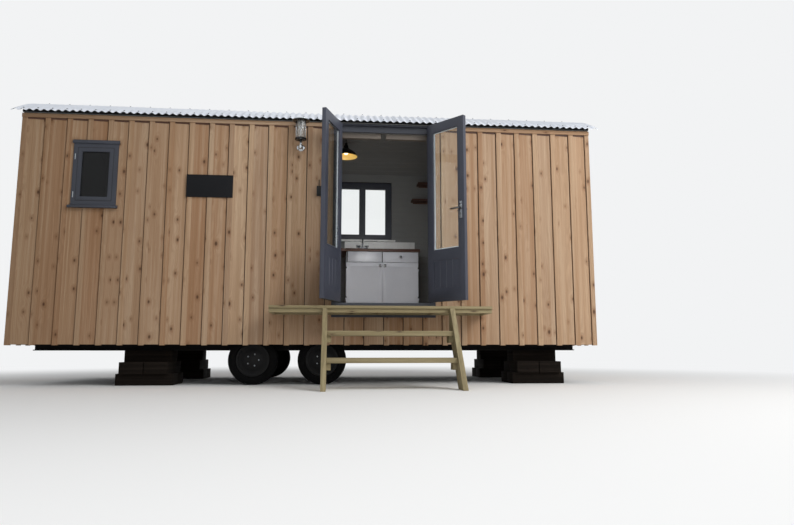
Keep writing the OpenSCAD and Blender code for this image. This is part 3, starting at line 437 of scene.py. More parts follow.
# the lantern's tube is frosted
tubeGlass = glassSurface("satinLampGlass", {
    "roughness": 0.18, "ior": 1.45, "clear": 0.9, "colour": "#F1F3F2", "dust": (0.12, 0.25)})
bulbGlow, add, shader = newSurface("warmBulbGlass", {
    "Roughness": 0.3, "Base Color": linear("#FFE2AE"), "Emission Color": linear("#FFE3A0"),
    "Emission Strength": 5.0})
noise = add("TexNoise", {"Vector": add("TexCoord").outputs["Object"], "Scale": 30.0})
feed(shader, {"Base Color": add("ValToRGB", {0: noise}, stops=[(0.3, "#FFDCA0"), (0.7, "#FFE8BE")])})
print("stage: materials")


# shape helpers
finish = {"weld": 0.00002, "flat": 0.6, "eased": 28, "creased": 32}  # m, then degrees between two faces
boardDraws = random.Random(7)  # one run of draws for all boards that are laid
openTop = 99.0  # m, the top of a hole that runs on up past the wall's own
leastPart = 10 * mm  # a shorter or narrower piece of board is left out or cut plain


def keepPiece(name, mesh, materials, body="hut", stands=()):
    for material in materials:
        mesh.materials.append(material)
    piece = bpy.data.objects.new(name, mesh)
    bpy.context.scene.collection.objects.link(piece)
    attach(piece, body)
    if stands:
        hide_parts(*stands)
    return piece


def keepMesh(bm, name, materials, body="hut", stands=()):
    mesh = bpy.data.meshes.new(name)
    bm.to_mesh(mesh)
    bm.free()
    return keepPiece(name, mesh, materials, body, stands)


def closeBoards(bm, name, materials, body="hut", stands=()):
    bmesh.ops.recalc_face_normals(bm, faces=bm.faces)
    return keepMesh(bm, name, materials, body, stands)


def addGrainLayers(bm):
    bm.loops.layers.uv.new("boardMetres")
    bm.faces.layers.float.new("boardTone")
    return bm.loops.layers.uv["boardMetres"], bm.faces.layers.float["boardTone"]


def newBoards():
    bm = bmesh.new()
    addGrainLayers(bm)
    return bm


def newGrain(draws=boardDraws):
    # where on its timber a board is cut, in metres, and its tone
    return draws.uniform(0, 60), draws.uniform(0, 60), draws.random()


def straight(u, v, d):
    return u, v, d


def boardSection(v0, v1, back, front, arris):
    return [(v0, back), (v0, front - arris), (v0 + arris, front),
            (v1 - arris, front), (v1, front - arris), (v1, back)]


def addBoard(bm, place, section, ends, grain, chamfer=1.5 * mm):
    # place(u, v, d) turns metres along, across and out into a point; section is the outline in (v, d)
    uvLayer = bm.loops.layers.uv["boardMetres"]
    toneLayer = bm.faces.layers.float["boardTone"]
    count = len(section)
    midV, midD = (sum(point[k] for point in section) / count for k in (0, 1))
    rows = []
    for end, narrow in ((0, True), (0, False), (1, False), (1, True)):
        row = []
        for v, d in section:
            u = ends(v)[end]
            if narrow:
                corner = place(u, v + math.copysign(chamfer, midV - v), d + math.copysign(chamfer, midD - d))
            else:
                u += chamfer if end == 0 else -chamfer
                corner = place(u, v, d)
            row.append((bm.verts.new(corner), u))
        rows.append(row)
    run = [0.0]
    for (v0, d0), (v1, d1) in zip(section, section[1:] + section[:1]):
        run.append(run[-1] + math.hypot(v1 - v0, d1 - d0))
    for near, far in zip(rows, rows[1:]):
        for i in range(count):
            j = (i + 1) % count
            corners = (near[i], near[j], far[j], far[i])
            face = bm.faces.new([c[0] for c in corners])
            for loop, corner, across in zip(face.loops, corners, (run[i], run[i + 1], run[i + 1], run[i])):
                loop[uvLayer].uv = (corner[1] + grain[0], across + grain[1])
            face[toneLayer] = grain[2]
    for row in (rows[0], rows[-1]):
        face = bm.faces.new([c[0] for c in row])
        for loop, (v, d) in zip(face.loops, section):
            loop[uvLayer].uv = (grain[0] + d, grain[1] + v)
        face[toneLayer] = grain[2]


def addBox(bm, low, high, place=straight):
    # a plain box between two corners, in the place's own axes
    section = [(low[1], low[2]), (low[1], high[2]), (high[1], high[2]), (high[1], low[2])]
    addBoard(bm, place, section, lambda v: (low[0], high[0]), (0.0, 0.0, 0.5), 0.4 * mm)


def cutRound(a, b, low, holes):
    # the parts of a strip that stay outside the holes, which are (v0, u0, v1, u1)
    cuts = sorted({a, b, *(v for hole in holes for v in (hole[0], hole[2]) if a < v < b)})
    parts = []
    for p, q in zip(cuts, cuts[1:]):
        spans = [(low, openTop)]
        for v0, u0, v1, u1 in holes:
            if v0 < (p + q) / 2 < v1:
                spans = [(a, b) for lo, hi in spans for a, b in ((lo, min(hi, u0)), (max(lo, u1), hi))
                         if b - a > leastPart]
        parts += [(p, q, lo, hi) for lo, hi in spans]
    return parts


def coatWall(bm, place, edges, low, top, holes, look):
    # side-by-side boards; the parts of a split board keep one grain, and only the board's own edges are eased
    back, front, arris = look["back"], look["front"], look["arris"]
    for v0, v1 in zip(edges, edges[1:]):
        grain = newGrain()
        a, b = v0 + look["gap"] / 2, v1 - look["gap"] / 2
        for p, q, lo, hi in cutRound(a, b, low, holes):
            section = [(p, back), *([(p, front - arris), (p + arris, front)] if p == a else [(p, front)]),
                       *([(q - arris, front), (q, front - arris)] if q == b else [(q, front)]), (q, back)]
            addBoard(bm, place, section, lambda v: (lo, hi if hi < openTop else top(v)), grain, 1.0 * mm)


def copyMesh(node):
    # the CAD node's own triangles, merged and cleaned, as a new bmesh
    bm = bmesh.new()
    bm.from_mesh(nodes[node].data)
    bm.transform(nodes[node].matrix_world)
    bmesh.ops.remove_doubles(bm, verts=bm.verts, dist=finish["weld"])
    bmesh.ops.dissolve_limit(bm, angle_limit=math.radians(finish["flat"]), verts=bm.verts, edges=bm.edges)
    bmesh.ops.recalc_face_normals(bm, faces=bm.faces)
    for name in list(bm.loops.layers.uv.keys()):
        bm.loops.layers.uv.remove(bm.loops.layers.uv[name])
    return bm


def edgesOver(bm, angle):
    return [e for e in bm.edges if len(e.link_faces) == 2 and e.calc_face_angle(0) > math.radians(angle)]


def smoothFaces(bm):
    for face in bm.faces:
        face.smooth = True
    for edge in edgesOver(bm, finish["creased"]):
        edge.smooth = False


def mapGrain(bm, along, draws):
    # loose boards get their own stretch of grain and their own tone
    uvLayer, toneLayer = addGrainLayers(bm)
    left = dict.fromkeys(bm.faces)  # keeps the mesh's own order, so that each run draws alike
    while left:
        start = next(iter(left))
        del left[start]
        island, front = [start], [start]
        while front:
            face = front.pop()
            for edge in face.edges:
                for other in edge.link_faces:
                    if other in left:
                        del left[other]
                        island.append(other)
                        front.append(other)
        points = [v.co for face in island for v in face.verts]
        spans = [max(p[k] for p in points) - min(p[k] for p in points) for k in range(3)]
        longest = [float(k == spans.index(max(spans))) for k in range(3)]
        axis = Vector(along or longest).normalized()
        side = axis.orthogonal().normalized()
        across = side + axis.cross(side)
        grain = newGrain(draws)
        for face in island:
            face[toneLayer] = grain[2]
            for loop in face.loops:
                loop[uvLayer].uv = (loop.vert.co.dot(axis) + grain[0], loop.vert.co.dot(across) + grain[1])


def addTurned(bm, place, profile, steps=24, index=0):
    # a form turned about its own upright axis; profile runs from foot to top as (radius, height) in mm
    rings = []
    for radius, height in profile:
        turns = [2 * math.pi * k / steps for k in range(steps if radius > 0 else 1)]
        ring = [(radius * mm * math.cos(a), radius * mm * math.sin(a), height * mm) for a in turns]
        rings.append([bm.verts.new(place @ Vector(point)) for point in ring])
    for low, high in zip(rings, rings[1:]):
        for near in range(steps):
            far = (near + 1) % steps
            around = ((low, near), (low, far), (high, far), (high, near))
            corners = [ring[at % len(ring)] for ring, at in around]
            bm.faces.new(list(dict.fromkeys(corners))).material_index = index


def addRod(bm, place, radius, low, high, steps=24, index=0):
    addTurned(bm, place, [(0, low), (radius, low), (radius, high), (0, high)], steps, index)


def camelName(node):
    first, *rest = node.split("_")
    return first + "".join(word.title() for word in rest)


def inFrontOf(edge, inverse=Matrix()):
    # the faces in front of the edge take the second material
    return lambda p, n: 1 if (inverse @ p).y < edge else 0


def refine(node, materials, body="hut", width=1.5 * mm, pick=None, along=None, grain=None, smooth=True,
           name=""):
    # a finished copy of a CAD node: eased edges, smooth curves, and a material picked by place for each face
    bm = copyMesh(node)
    if width:
        sharp = edgesOver(bm, finish["eased"])
        bmesh.ops.bevel(bm, geom=sharp, offset=width, offset_type="WIDTH", segments=2, profile=0.6,
                        affect="EDGES", clamp_overlap=True)
        bmesh.ops.remove_doubles(bm, verts=bm.verts, dist=finish["weld"] / 2)
    if grain is not None:
        mapGrain(bm, along, random.Random(grain))
    if smooth:
        smoothFaces(bm)
    if pick:
        for face in bm.faces:
            face.material_index = pick(face.calc_center_median(), face.normal)
    return keepMesh(bm, name or camelName(node), materials, body, (node,))


# geometry trees
def newTree(name, sockets):
    tree = bpy.data.node_groups.new(name, "GeometryNodeTree")
    tree.interface.new_socket("Geometry", in_out="OUTPUT", socket_type="NodeSocketGeometry")
    for label, kind, value in sockets:
        socket = tree.interface.new_socket(label, in_out="INPUT", socket_type="NodeSocket" + kind)
        if value is not None:
            socket.default_value = value
    add = partial(addNode, tree)
    return tree, add, add("NodeGroupInput").outputs, add("NodeGroupOutput")


def growMesh(tree, values):
    # the tree's result as a mesh, with the inputs set before it is first worked out
    holder = bpy.data.objects.new("treeHolder", bpy.data.meshes.new("treeHolder"))
    bpy.context.scene.collection.objects.link(holder)
    modifier = holder.modifiers.new("tree", "NODES")
    modifier.node_group = tree
    for item in tree.interface.items_tree:
        if item.in_out == "INPUT" and item.name in values:
            modifier[item.identifier] = values[item.name]
    depsgraph = bpy.context.evaluated_depsgraph_get()
    mesh = bpy.data.meshes.new_from_object(holder.evaluated_get(depsgraph), depsgraph=depsgraph)
    bpy.data.objects.remove(holder)
    return mesh


# a corrugated sheet bent to a round roof: a grid's points move onto the waved arc, then it gets thickness
sheetTree, add, given, result = newTree("bentCorrugatedSheet", [
    ("Start", "Float", 0.0), ("End", "Float", 1.0), ("Radius", "Float", 2.36), ("Half Angle", "Float", 0.5),
    ("Pitch", "Float", 0.0762), ("Wave", "Float", 0.009), ("Lift", "Float", 0.0),
    ("Thickness", "Float", 0.0008), ("Steps", "Int", 100), ("Rows", "Int", 20),
    ("Material", "Material", None), ("Underside", "Material", None)])
grid = add("GeometryNodeMeshGrid", {"Size X": 1.0, "Size Y": 1.0, "Vertices X": given["Steps"],
                                    "Vertices Y": given["Rows"]})
flat = add("SeparateXYZ", {0: add("GeometryNodeInputPosition")}).outputs
sheetX = add("MapRange", {0: flat[0], 1: -0.5, 2: 0.5, 3: given["Start"], 4: given["End"]})
turnBack = add("Math", {0: given["Half Angle"], 1: -1.0}, operation="MULTIPLY")
sheetTurn = add("MapRange", {0: flat[1], 1: -0.5, 2: 0.5, 3: turnBack, 4: given["Half Angle"]})
swell = add("Math", {0: sheetX, 1: given["Pitch"]}, operation="DIVIDE")
swell = add("Math", {0: swell, 1: 2 * math.pi}, operation="MULTIPLY")
swell = add("Math", {0: swell}, operation="COSINE")
bentRadius = add("Math", {0: swell, 1: given["Wave"], 2: given["Radius"]}, operation="MULTIPLY_ADD")
bentRadius = add("Math", {0: bentRadius, 1: given["Lift"]}, operation="ADD")
bentY, bentZ = (add("Math", {0: add("Math", {0: sheetTurn}, operation=kind), 1: bentRadius},
                    operation="MULTIPLY") for kind in ("SINE", "COSINE"))
place = add("CombineXYZ", {0: sheetX, 1: bentY, 2: bentZ})
bent = add("GeometryNodeSetPosition", {0: grid, "Position": place})
thick = add("GeometryNodeExtrudeMesh", {"Mesh": bent, "Offset Scale": given["Thickness"],
                                        "Individual": False})
under = add("GeometryNodeFlipFaces", {0: bent})
painted = [add("GeometryNodeSetMaterial", {0: part, "Material": given[label]})
           for part, label in ((under, "Underside"), (thick, "Material"))]
welded = add("GeometryNodeMergeByDistance", {0: add("GeometryNodeJoinGeometry", {0: painted}),
                                             "Distance": finish["weld"]})
rounded = add("GeometryNodeSetShadeSmooth", {0: welded, "Shade Smooth": True})
feed(result, {0: add("GeometryNodeRealizeInstances", {0: rounded})})

# a row of fixings: washer and head on each point of a line
fixingTree, add, given, result = newTree("fixingRow", [
    ("From", "Vector", None), ("To", "Vector", None), ("Count", "Int", 2), ("Turn", "Vector", None),
    ("Head", "Float", 0.004), ("Washer", "Float", 0.008), ("Height", "Float", 0.003),
    ("Material", "Material", None)])
row = add("GeometryNodeMeshLine", {"Count": given["Count"], "Start Location": given["From"],
                                   "Offset": given["To"]}, mode="END_POINTS")
washer = add("GeometryNodeMeshCylinder", {"Vertices": 10, "Radius": given["Washer"], "Depth": 0.0016})
headTop = add("Math", {0: given["Head"], 1: 0.55}, operation="MULTIPLY")
head = add("GeometryNodeMeshCone", {"Vertices": 8, "Radius Top": headTop, "Radius Bottom": given["Head"],
                                    "Depth": given["Height"]})
fixing = add("GeometryNodeJoinGeometry", {0: [washer, head]})
onRow = add("GeometryNodeInstanceOnPoints", {"Points": row, "Instance": fixing})
turned = add("GeometryNodeRotateInstances", {0: onRow, "Rotation": given["Turn"]})
real = add("GeometryNodeRealizeInstances", {0: turned})
feed(result, {0: add("GeometryNodeSetMaterial", {0: real, "Material": given["Material"]})})


def joinMeshes(meshes):
    bm = bmesh.new()
    for mesh in meshes:
        bm.from_mesh(mesh)
        bpy.data.meshes.remove(mesh)
    return bm


def addFixings(name, rows, material, sizes, body="hut"):
    # each row is (from, to, count, outward direction); sizes are head, washer and height in mm
    meshes = []
    head, washer, height = (size * mm for size in sizes)
    for start, end, count, out in rows:
        turn = Vector(out).to_track_quat("Z", "Y").to_euler()
        meshes.append(growMesh(fixingTree, {
            "From": start, "To": end, "Count": count, "Turn": tuple(turn), "Head": head, "Washer": washer,
            "Height": height, "Material": material}))
    return keepMesh(joinMeshes(meshes), name, [material], body)


print("stage: helpers and trees")


# cladding: wide larch boards, each tucked under the next one's cover strip
clad = {
    "firstPitch": 235 * mm,
    "pitch": 220 * mm,
    "recess": 13 * mm,  # how far behind the strips a board's tucked edge lies
    "step": 2 * mm,  # how far behind them its other edge lies
    "seam": 9 * mm,  # the open joint on the left of each strip
    "depth": 29 * mm,
    "arris": 1.5 * mm,
    "stripWidth": 57 * mm,
    "stripDrop": 9 * mm,
    "cornerWidth": 60 * mm,
    "least": 120 * mm,  # no seam is nearer a corner board
    "core": 27 * mm,  # how far the wall behind is set in
    "footUp": 12 * mm,
    "endsIn": 31 * mm,  # an end wall's boards stop behind those of the long walls
    "underFrieze": 4 * mm,
    "underDeck": 1 * mm,
}
wallLow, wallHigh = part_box("front_wall_left")
backLow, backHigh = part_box("back_wall")
frontFace, backFace = wallLow.y, backHigh.y
inFront, inBack = wallHigh.y, backLow.y
leftEnd, rightEnd = wallLow.x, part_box("front_wall_right")[1].x
inLeft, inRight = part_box("gable_left")[1].x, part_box("gable_right")[0].x
skirtFoot = wallLow.z
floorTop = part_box("floor")[1].z
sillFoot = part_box("front_wall_under_door")[1].z
friezeLow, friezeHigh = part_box("eave_boards")
windowLow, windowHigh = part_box("front_window_glass")
backPaneLow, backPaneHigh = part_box("back_window_glass")
windowRim = 92 * mm  # from the glass's edge to the frame's outer edge


def windowHole(low, high):
    return low.x - windowRim, low.z - windowRim, high.x + windowRim, high.z + windowRim


frontHoles = [(frameLow.x, sillFoot, frameHigh.x, openTop), windowHole(windowLow, windowHigh)]
backHoles = [windowHole(backPaneLow, backPaneHigh)]
half = (backFace - frontFace) / 2
sheetLow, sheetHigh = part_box("roof_sheets_under")
wave = 9 * mm
sheetRadius = 2.36
waveDepth = 9.5 * mm  # from the sheets' middle to their lowest, with half their thickness
seat = 0.3 * mm  # the clearance between pieces that touch
deckDepth = 40 * mm
arcY = (frontFace + backFace) / 2
arcZ = sheetHigh.z - sheetRadius - wave - 0.5 * mm
ceilingRadius = sheetRadius - waveDepth - seat - deckDepth


def underArc(y, radius=ceilingRadius):
    return arcZ + math.sqrt(radius * radius - (y - arcY) ** 2)


def stripEdges(start, end, seams):
    # the seams between the two corner boards
    corner = end - clad["cornerWidth"]
    return [start] + [s for s in seams if start + clad["least"] < s < corner - clad["least"]] + [corner]


def stripAt(edge, start):
    strip = edge + (clad["seam"] if edge > start else 0.0)
    return strip, strip + clad["stripWidth"]


def clothe(name, place, start, end, seams, top, holes):
    bm = newBoards()
    edges = stripEdges(start, end, seams)
    back = -clad["depth"]
    for edge, following in zip(edges, edges[1:]):
        strip, board = stripAt(edge, start)
        slope = (clad["recess"] - clad["step"]) / (following - board)
        front = lambda v: -clad["step"] - slope * (v - board)
        grain = newGrain()
        for p, q, lo, hi in cutRound(board, following, skirtFoot + clad["stripDrop"], holes):
            section = [(p, back), (p, front(p)), (q, front(q)), (q, back)]
            addBoard(bm, place, section, lambda v: (lo, hi if hi < openTop else top(v)), grain, 1.0 * mm)
        grain = newGrain()
        for p, q, lo, hi in cutRound(strip, board, skirtFoot, holes):
            section = boardSection(p, q, back, 0.0, clad["arris"] if q - p > leastPart else 0.4 * mm)
            addBoard(bm, place, section, lambda v: (lo, hi if hi < openTop else top(v)), grain)
    section = boardSection(edges[-1] + clad["seam"], end, back, 0.0, clad["arris"])
    addBoard(bm, place, section, lambda v: (skirtFoot, top(v)), newGrain())
    closeBoards(bm, name, [larch])


seams = [leftEnd + clad["firstPitch"], leftEnd + 2 * clad["firstPitch"]]
while seams[-1] + clad["pitch"] < rightEnd:
    seams.append(seams[-1] + clad["pitch"])
for name, face, sign, holes in (("frontCladding", frontFace, -1, frontHoles),
                                ("backCladding", backFace, 1, backHoles)):
    clothe(name, lambda u, v, d: (v, face + sign * d, u), leftEnd, rightEnd, seams,
           lambda v: friezeHigh.z - clad["underFrieze"], holes)
for name, face, sign in (("leftCladding", leftEnd, -1), ("rightCladding", rightEnd, 1)):
    start, end = frontFace + clad["endsIn"], backFace - clad["endsIn"]
    clothe(name, lambda u, v, d: (face + sign * d, v, u), start, end,
           [start + (k + 1) * clad["pitch"] for k in range(10)],
           lambda v: underArc(v, ceilingRadius - clad["underDeck"]), [])


def shiftFaces(node, moves):
    # a copy of a wall with some of its faces moved in, to make room for boards; moves is (axis, from, by)
    bm = copyMesh(node)
    for vert in bm.verts:
        for axis, near, by in moves:
            if abs(vert.co[axis] - near) < 0.6 * mm:
                vert.co[axis] = near + by
    return bm


lined = 9.5 * mm
frontIn, backIn = (1, frontFace, clad["core"]), (1, backFace, -clad["core"])
leftIn, rightIn = (0, leftEnd, clad["core"]), (0, rightEnd, -clad["core"])
for node, moves in (
    ("front_wall_left", (frontIn, (1, inFront, -lined), leftIn)),
    ("front_wall_right", (frontIn, (1, inFront, -lined), rightIn)),
    ("front_wall_under_door", (frontIn,)),
    ("back_wall", (backIn, (1, inBack, lined), leftIn, rightIn)),
    ("gable_left", (leftIn, (0, inLeft, -lined))),
    ("gable_right", (rightIn, (0, inRight, lined))),
):
    # the wall cores are black, painted shade where they show through the open seams between boards
    core = shiftFaces(node, (*moves, (2, skirtFoot, clad["footUp"])))
    keepMesh(core, node + "Core", [blackRubberAndShade], stands=(node,))
refine("front_wall_over_door", [shadeDarkenedLiningPaint], name="headLining")
print("stage: cladding")


# lining: painted tongued boards with V joints
lining = {"pitch": 95 * mm, "gap": 0.4 * mm, "arris": 3.5 * mm, "front": 0.0, "back": -9.4 * mm}
ceiling = {"gap": 0.4 * mm, "front": -0.5 * mm, "back": -10.5 * mm, "arris": 3 * mm, "deckUp": 12 * mm,
           "tuck": 90 * mm}
flooring = {"pitch": 140 * mm, "gap": 1 * mm, "arris": 1.5 * mm, "depth": 18 * mm, "coreDown": 17 * mm}


def spread(start, end, pitch):
    count = max(1, round((end - start) / pitch))
    return [start + (end - start) * k / count for k in range(count + 1)]


def lyingHoles(holes):
    # the same holes for boards that run level
    return [(z0, x0, z1, x1) for x0, z0, x1, z1 in holes]


boards = newBoards()
levels = spread(floorTop, underArc(inFront) - 2 * mm, lining["pitch"])
for x0, x1, wall, sign, holes in ((inLeft, frameLow.x, inFront, 1, frontHoles[1:]),
                                  (frameHigh.x, inRight, inFront, 1, frontHoles[1:]),
                                  (inLeft, inRight, inBack, -1, backHoles)):
    coatWall(boards, lambda u, v, d: (u, wall + sign * d, v), levels, x0, lambda v: x1, lyingHoles(holes),
             lining)
uprights = spread(inFront, inBack, lining["pitch"])
for sign, wall in ((1, inLeft), (-1, inRight)):
    coatWall(boards, lambda u, v, d: (wall + sign * d, v, u), uprights, floorTop,
             lambda v: underArc(v) - 3 * mm, [], lining)
closeBoards(boards, "wallLining", [shadeDarkenedLiningPaint])
# the ceiling's boards run lengthwise, each flat and turned to follow the roof
deckCore = copyMesh("roof_deck")
for vert in deckCore.verts:
    offset = Vector((0.0, vert.co.y - arcY, vert.co.z - arcZ))
    if abs(offset.length - ceilingRadius) < 3 * mm:
        vert.co += offset.normalized() * ceiling["deckUp"]
# the deck core is black, painted shade at its edge under the eaves
keepMesh(deckCore, "roofDeckCore", [blackRubberAndShade], stands=("roof_deck",))


def onArc(turn):
    # the place of a flat board under the roof, at that turn from the crown
    def place(u, v, d):
        radius = ceilingRadius - d
        return (u, arcY + radius * math.sin(turn) + v * math.cos(turn),
                arcZ + radius * math.cos(turn) - v * math.sin(turn))
    return place


boards = newBoards()
roofTurn = math.asin((half - 2 * mm) / ceilingRadius)
turns = spread(-roofTurn, roofTurn, lining["pitch"] / ceilingRadius)
for t0, t1 in zip(turns, turns[1:]):
    reach = (t1 - t0) / 2 * ceilingRadius - ceiling["gap"] / 2
    section = boardSection(-reach, reach, ceiling["back"], ceiling["front"], ceiling["arris"])
    addBoard(boards, onArc((t0 + t1) / 2), section,
             lambda v: (inLeft - ceiling["tuck"], inRight + ceiling["tuck"]), newGrain(), 1 * mm)
closeBoards(boards, "ceilingBoards", [shadeDarkenedLiningPaint])
# floor boards lie on the floor's core
boards = newBoards()
edges = spread(inFront, inBack, flooring["pitch"])
for y0, y1 in zip(edges, edges[1:]):
    section = boardSection(y0 + flooring["gap"] / 2, y1 - flooring["gap"] / 2, -flooring["depth"], 0.0,
                           flooring["arris"])
    addBoard(boards, lambda u, v, d: (u, v, floorTop + d), section, lambda v: (inLeft, inRight), newGrain(),
             1 * mm)
closeBoards(boards, "floorBoards", [floorWood])
floorCore = shiftFaces("floor", [(2, floorTop, -flooring["coreDown"])])
keepMesh(floorCore, "floorCore", [blackRubberAndShade], stands=("floor",))
print("stage: lining, ceiling and floor")


# roof: bent corrugated sheets, lapped one corrugation, with screws on the crests
roof = {"pitch": 76.2 * mm, "waves": 8, "step": 1.7 * mm, "thickness": 1.0 * mm, "overhang": 70 * mm,
        "stepsPerWave": 10, "rows": 28}
screws = {"eave": 40 * mm, "sizes": (5, 9, 5), "lift": 1.2 * mm,
          "lines": ((0.62, 3, 1), (0.22, 3, 2))}  # share of the way down, every how many waves, shift
roofHalf = math.asin((half + roof["overhang"]) / sheetRadius)
cover = roof["waves"] * roof["pitch"]
sheetCount = math.ceil((sheetHigh.x - sheetLow.x) / cover)
groups = ([], [])
for k in range(sheetCount):
    start = max(sheetLow.x, (k - sheetCount / 2) * cover - roof["pitch"] / 2)
    end = min(sheetHigh.x, (k + 1 - sheetCount / 2) * cover + roof["pitch"] / 2)
    groups[k % 2].append(growMesh(sheetTree, {
        "Start": start, "End": end, "Radius": sheetRadius - roof["thickness"] / 2, "Half Angle": roofHalf,
        "Pitch": roof["pitch"], "Wave": wave, "Lift": (k % 2) * roof["step"], "Thickness": roof["thickness"],
        "Steps": round((end - start) / roof["pitch"] * roof["stepsPerWave"]) + 1, "Rows": roof["rows"],
        "Material": galvanised, "Underside": sheetUnderside}))
for meshes, node in zip(groups, ("roof_sheets_under", "roof_sheets_over")):
    finishes = list(meshes[0].materials)
    sheets = joinMeshes(meshes)
    sheets.transform(Matrix.Translation((0, arcY, arcZ)))
    keepMesh(sheets, camelName(node), finishes, stands=(node,))
rows = []
crests = math.floor(sheetHigh.x / roof["pitch"])
radius = sheetRadius + wave + roof["step"] + screws["lift"]
for side in (-1, 1):
    # every so many corrugations, in three lines up each side
    lines = [(roofHalf * share, every, shift) for share, every, shift in screws["lines"]]
    for turn, every, shift in ((roofHalf - screws["eave"] / sheetRadius, 2, 0), *lines):
        out = (0.0, side * math.sin(turn), math.cos(turn))
        first, last = -crests + shift + 1, crests - 1
        count = (last - first) // every + 1
        ends = [(x * roof["pitch"], arcY + radius * out[1], arcZ + radius * out[2])
                for x in (first, first + every * (count - 1))]
        rows.append((*ends, count, out))
addFixings("roofScrews", rows, roofScrewRubber, screws["sizes"])
refine("eave_boards", [larch], grain=3)
print("stage: roof")


# painted joinery
steelProud = 16 * mm  # the door frame's steel parts stand in front of its wood
refine("door_frame", [slatePaint, stainless], pick=inFrontOf(frameLow.y + steelProud))
leaf = {"width": 530 * mm, "height": 2045 * mm, "depth": 44 * mm, "stile": 88 * mm, "glassFoot": 580 * mm,
        "midRail": 125 * mm, "bottomRail": 150 * mm, "topRail": 108 * mm, "boards": 4, "boardInset": 10 * mm,
        "spacer": 10 * mm, "jamb": 45 * mm, "gap": 5 * mm, "hingeOut": 16 * mm,
        "proud": 8 * mm}
bead = {"gap": 0.5 * mm, "arris": 4 * mm, "front": 7 * mm, "back": -1 * mm}
pane = {"inner": 4 * mm, "outer": 8 * mm, "spacer": 3.8 * mm}  # either side of the leaf's middle
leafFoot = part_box("door_leaf_left")[0].z
hingeY = frontFace - leaf["proud"] - leaf["hingeOut"]


def leafPlace(side, opening):
    # where the leaf's own frame stands: x from its hinge, y inwards, z up
    hingeX = frameLow.x + leaf["jamb"] if side < 0 else frameHigh.x - leaf["jamb"]
    hinge = Vector((hingeX - side * leaf["gap"] / 2, hingeY, leafFoot))
    return (Matrix.Translation(hinge) @ Matrix.Diagonal((-side, 1, 1, 1))
            @ Matrix.Rotation(math.radians(-opening), 4, "Z")
            @ Matrix.Translation((leaf["gap"] / 2, leaf["hingeOut"], 0)))


for side, opening, part in ((-1, 110, "left"), (1, 130, "right")):
    body = "leaf_" + part
    matrix = leafPlace(side, opening)
    refine("door_leaf_" + part, [litLeafPaint, stainless], body,
           pick=inFrontOf(-1 * mm, matrix.inverted()))
    boards = newBoards()
    x0, x1 = leaf["stile"] + 1 * mm, leaf["width"] - leaf["stile"] - 1 * mm
    edges = spread(x0, x1, (leaf["width"] - 2 * leaf["stile"]) / leaf["boards"])
    low, high = leaf["bottomRail"] + 1 * mm, leaf["glassFoot"] - leaf["midRail"] - 1 * mm
    for face, sign in ((leaf["boardInset"], -1), (leaf["depth"] - leaf["boardInset"], 1)):
        coatWall(boards, lambda u, v, d: matrix @ Vector((v, face + sign * d, u)), edges, low, lambda v: high,
                 [], bead)
    closeBoards(boards, "leafBoards" + part.title(), [litLeafPaint], body)
    # sealed glass unit: two panes on an aluminium spacer
    middle = leaf["depth"] / 2
    onLeaf = lambda u, v, d: matrix @ Vector((v, middle + d, u))
    x0, x1 = x0 + 1 * mm, x1 - 1 * mm
    z0, z1 = leaf["glassFoot"] + 2 * mm, leaf["height"] - leaf["topRail"] - 2 * mm
    unit = newBoards()
    for a, b in ((-pane["outer"], -pane["inner"]), (pane["inner"], pane["outer"])):
        addBox(unit, (z0, x0, a), (z1, x1, b), onLeaf)
    closeBoards(unit, "leafPanes" + part.title(), [paneGlass], body, ("door_glass_" + part,))
    spacer = newBoards()
    deep = leaf["spacer"]
    for low, high in (((z0, x0), (z1, x0 + deep)), ((z0, x1 - deep), (z1, x1)),
                      ((z0, x0 + deep), (z0 + deep, x1 - deep)), ((z1 - deep, x0 + deep), (z1, x1 - deep))):
        addBox(spacer, (*low, -pane["spacer"]), (*high, pane["spacer"]), onLeaf)
    closeBoards(spacer, "leafSpacer" + part.title(), [aluminium], body)
refine("door_handle", [chrome], "leaf_right", width=1 * mm, name="leverHandle")
for node in ("front_window", "back_window"):
    refine(node, [slatePaint])
refine("front_window_glass", [shadeDarkenedGlass], width=0, smooth=False)
refine("back_window_glass", [paneGlass], width=0, smooth=False)
# small parts on the outside: the window's two hinges and its seal, and a key box with its cable
frameFace = frontFace - 10 * mm
hinges = {"in": 22 * mm, "up": 20 * mm, "down": 60 * mm}
ironwork = newBoards()
x = windowLow.x - windowRim + hinges["in"]
for z in (windowLow.z + hinges["up"], windowHigh.z - hinges["down"]):
    for x0, x1, y0, y1, tall in ((-6, 2, -2, 1, 33), (-1, 4, -6, -1, 31)):
        addBox(ironwork, (x + x0 * mm, frameFace + y0 * mm, z - tall * mm),
               (x + x1 * mm, frameFace + y1 * mm, z + tall * mm))
closeBoards(ironwork, "windowHinges", [screwSteel])
# the seal shows as a dark line round the front window's sash, a little wider at its foot
seal = newBoards()
rim, line, foot = 47 * mm, 5 * mm, 6 * mm
x0, x1, z0, z1 = windowLow.x - rim, windowHigh.x + rim, windowLow.z - rim, windowHigh.z + rim
for low, high in (((x0, z0), (x0 + line, z1)), ((x1 - line, z0), (x1, z1)),
                  ((x0 + line, z0), (x1 - line, z0 + foot)), ((x0 + line, z1 - line), (x1 - line, z1))):
    addBox(seal, (low[0], frameFace - 0.8 * mm, low[1]), (high[0], frameFace + 6 * mm, high[1]))
closeBoards(seal, "frontWindowSeal", [blackRubberAndShade])
keyPlace = {"left": 180 * mm, "up": 1210 * mm}
keyBox = newBoards()
boxX, boxZ = frameLow.x - keyPlace["left"], floorTop + keyPlace["up"]
for x0, x1, y0, y1, z0, z1 in ((0, 52, 42, 1, 0, 110), (6, 46, 48, 41, 12, 98), (22, 30, 12, 1, 108, 190)):
    addBox(keyBox, (boxX + x0 * mm, frontFace - y0 * mm, boxZ + z0 * mm),
           (boxX + x1 * mm, frontFace - y1 * mm, boxZ + z1 * mm))
closeBoards(keyBox, "keyBox", [blackRubberAndShade])
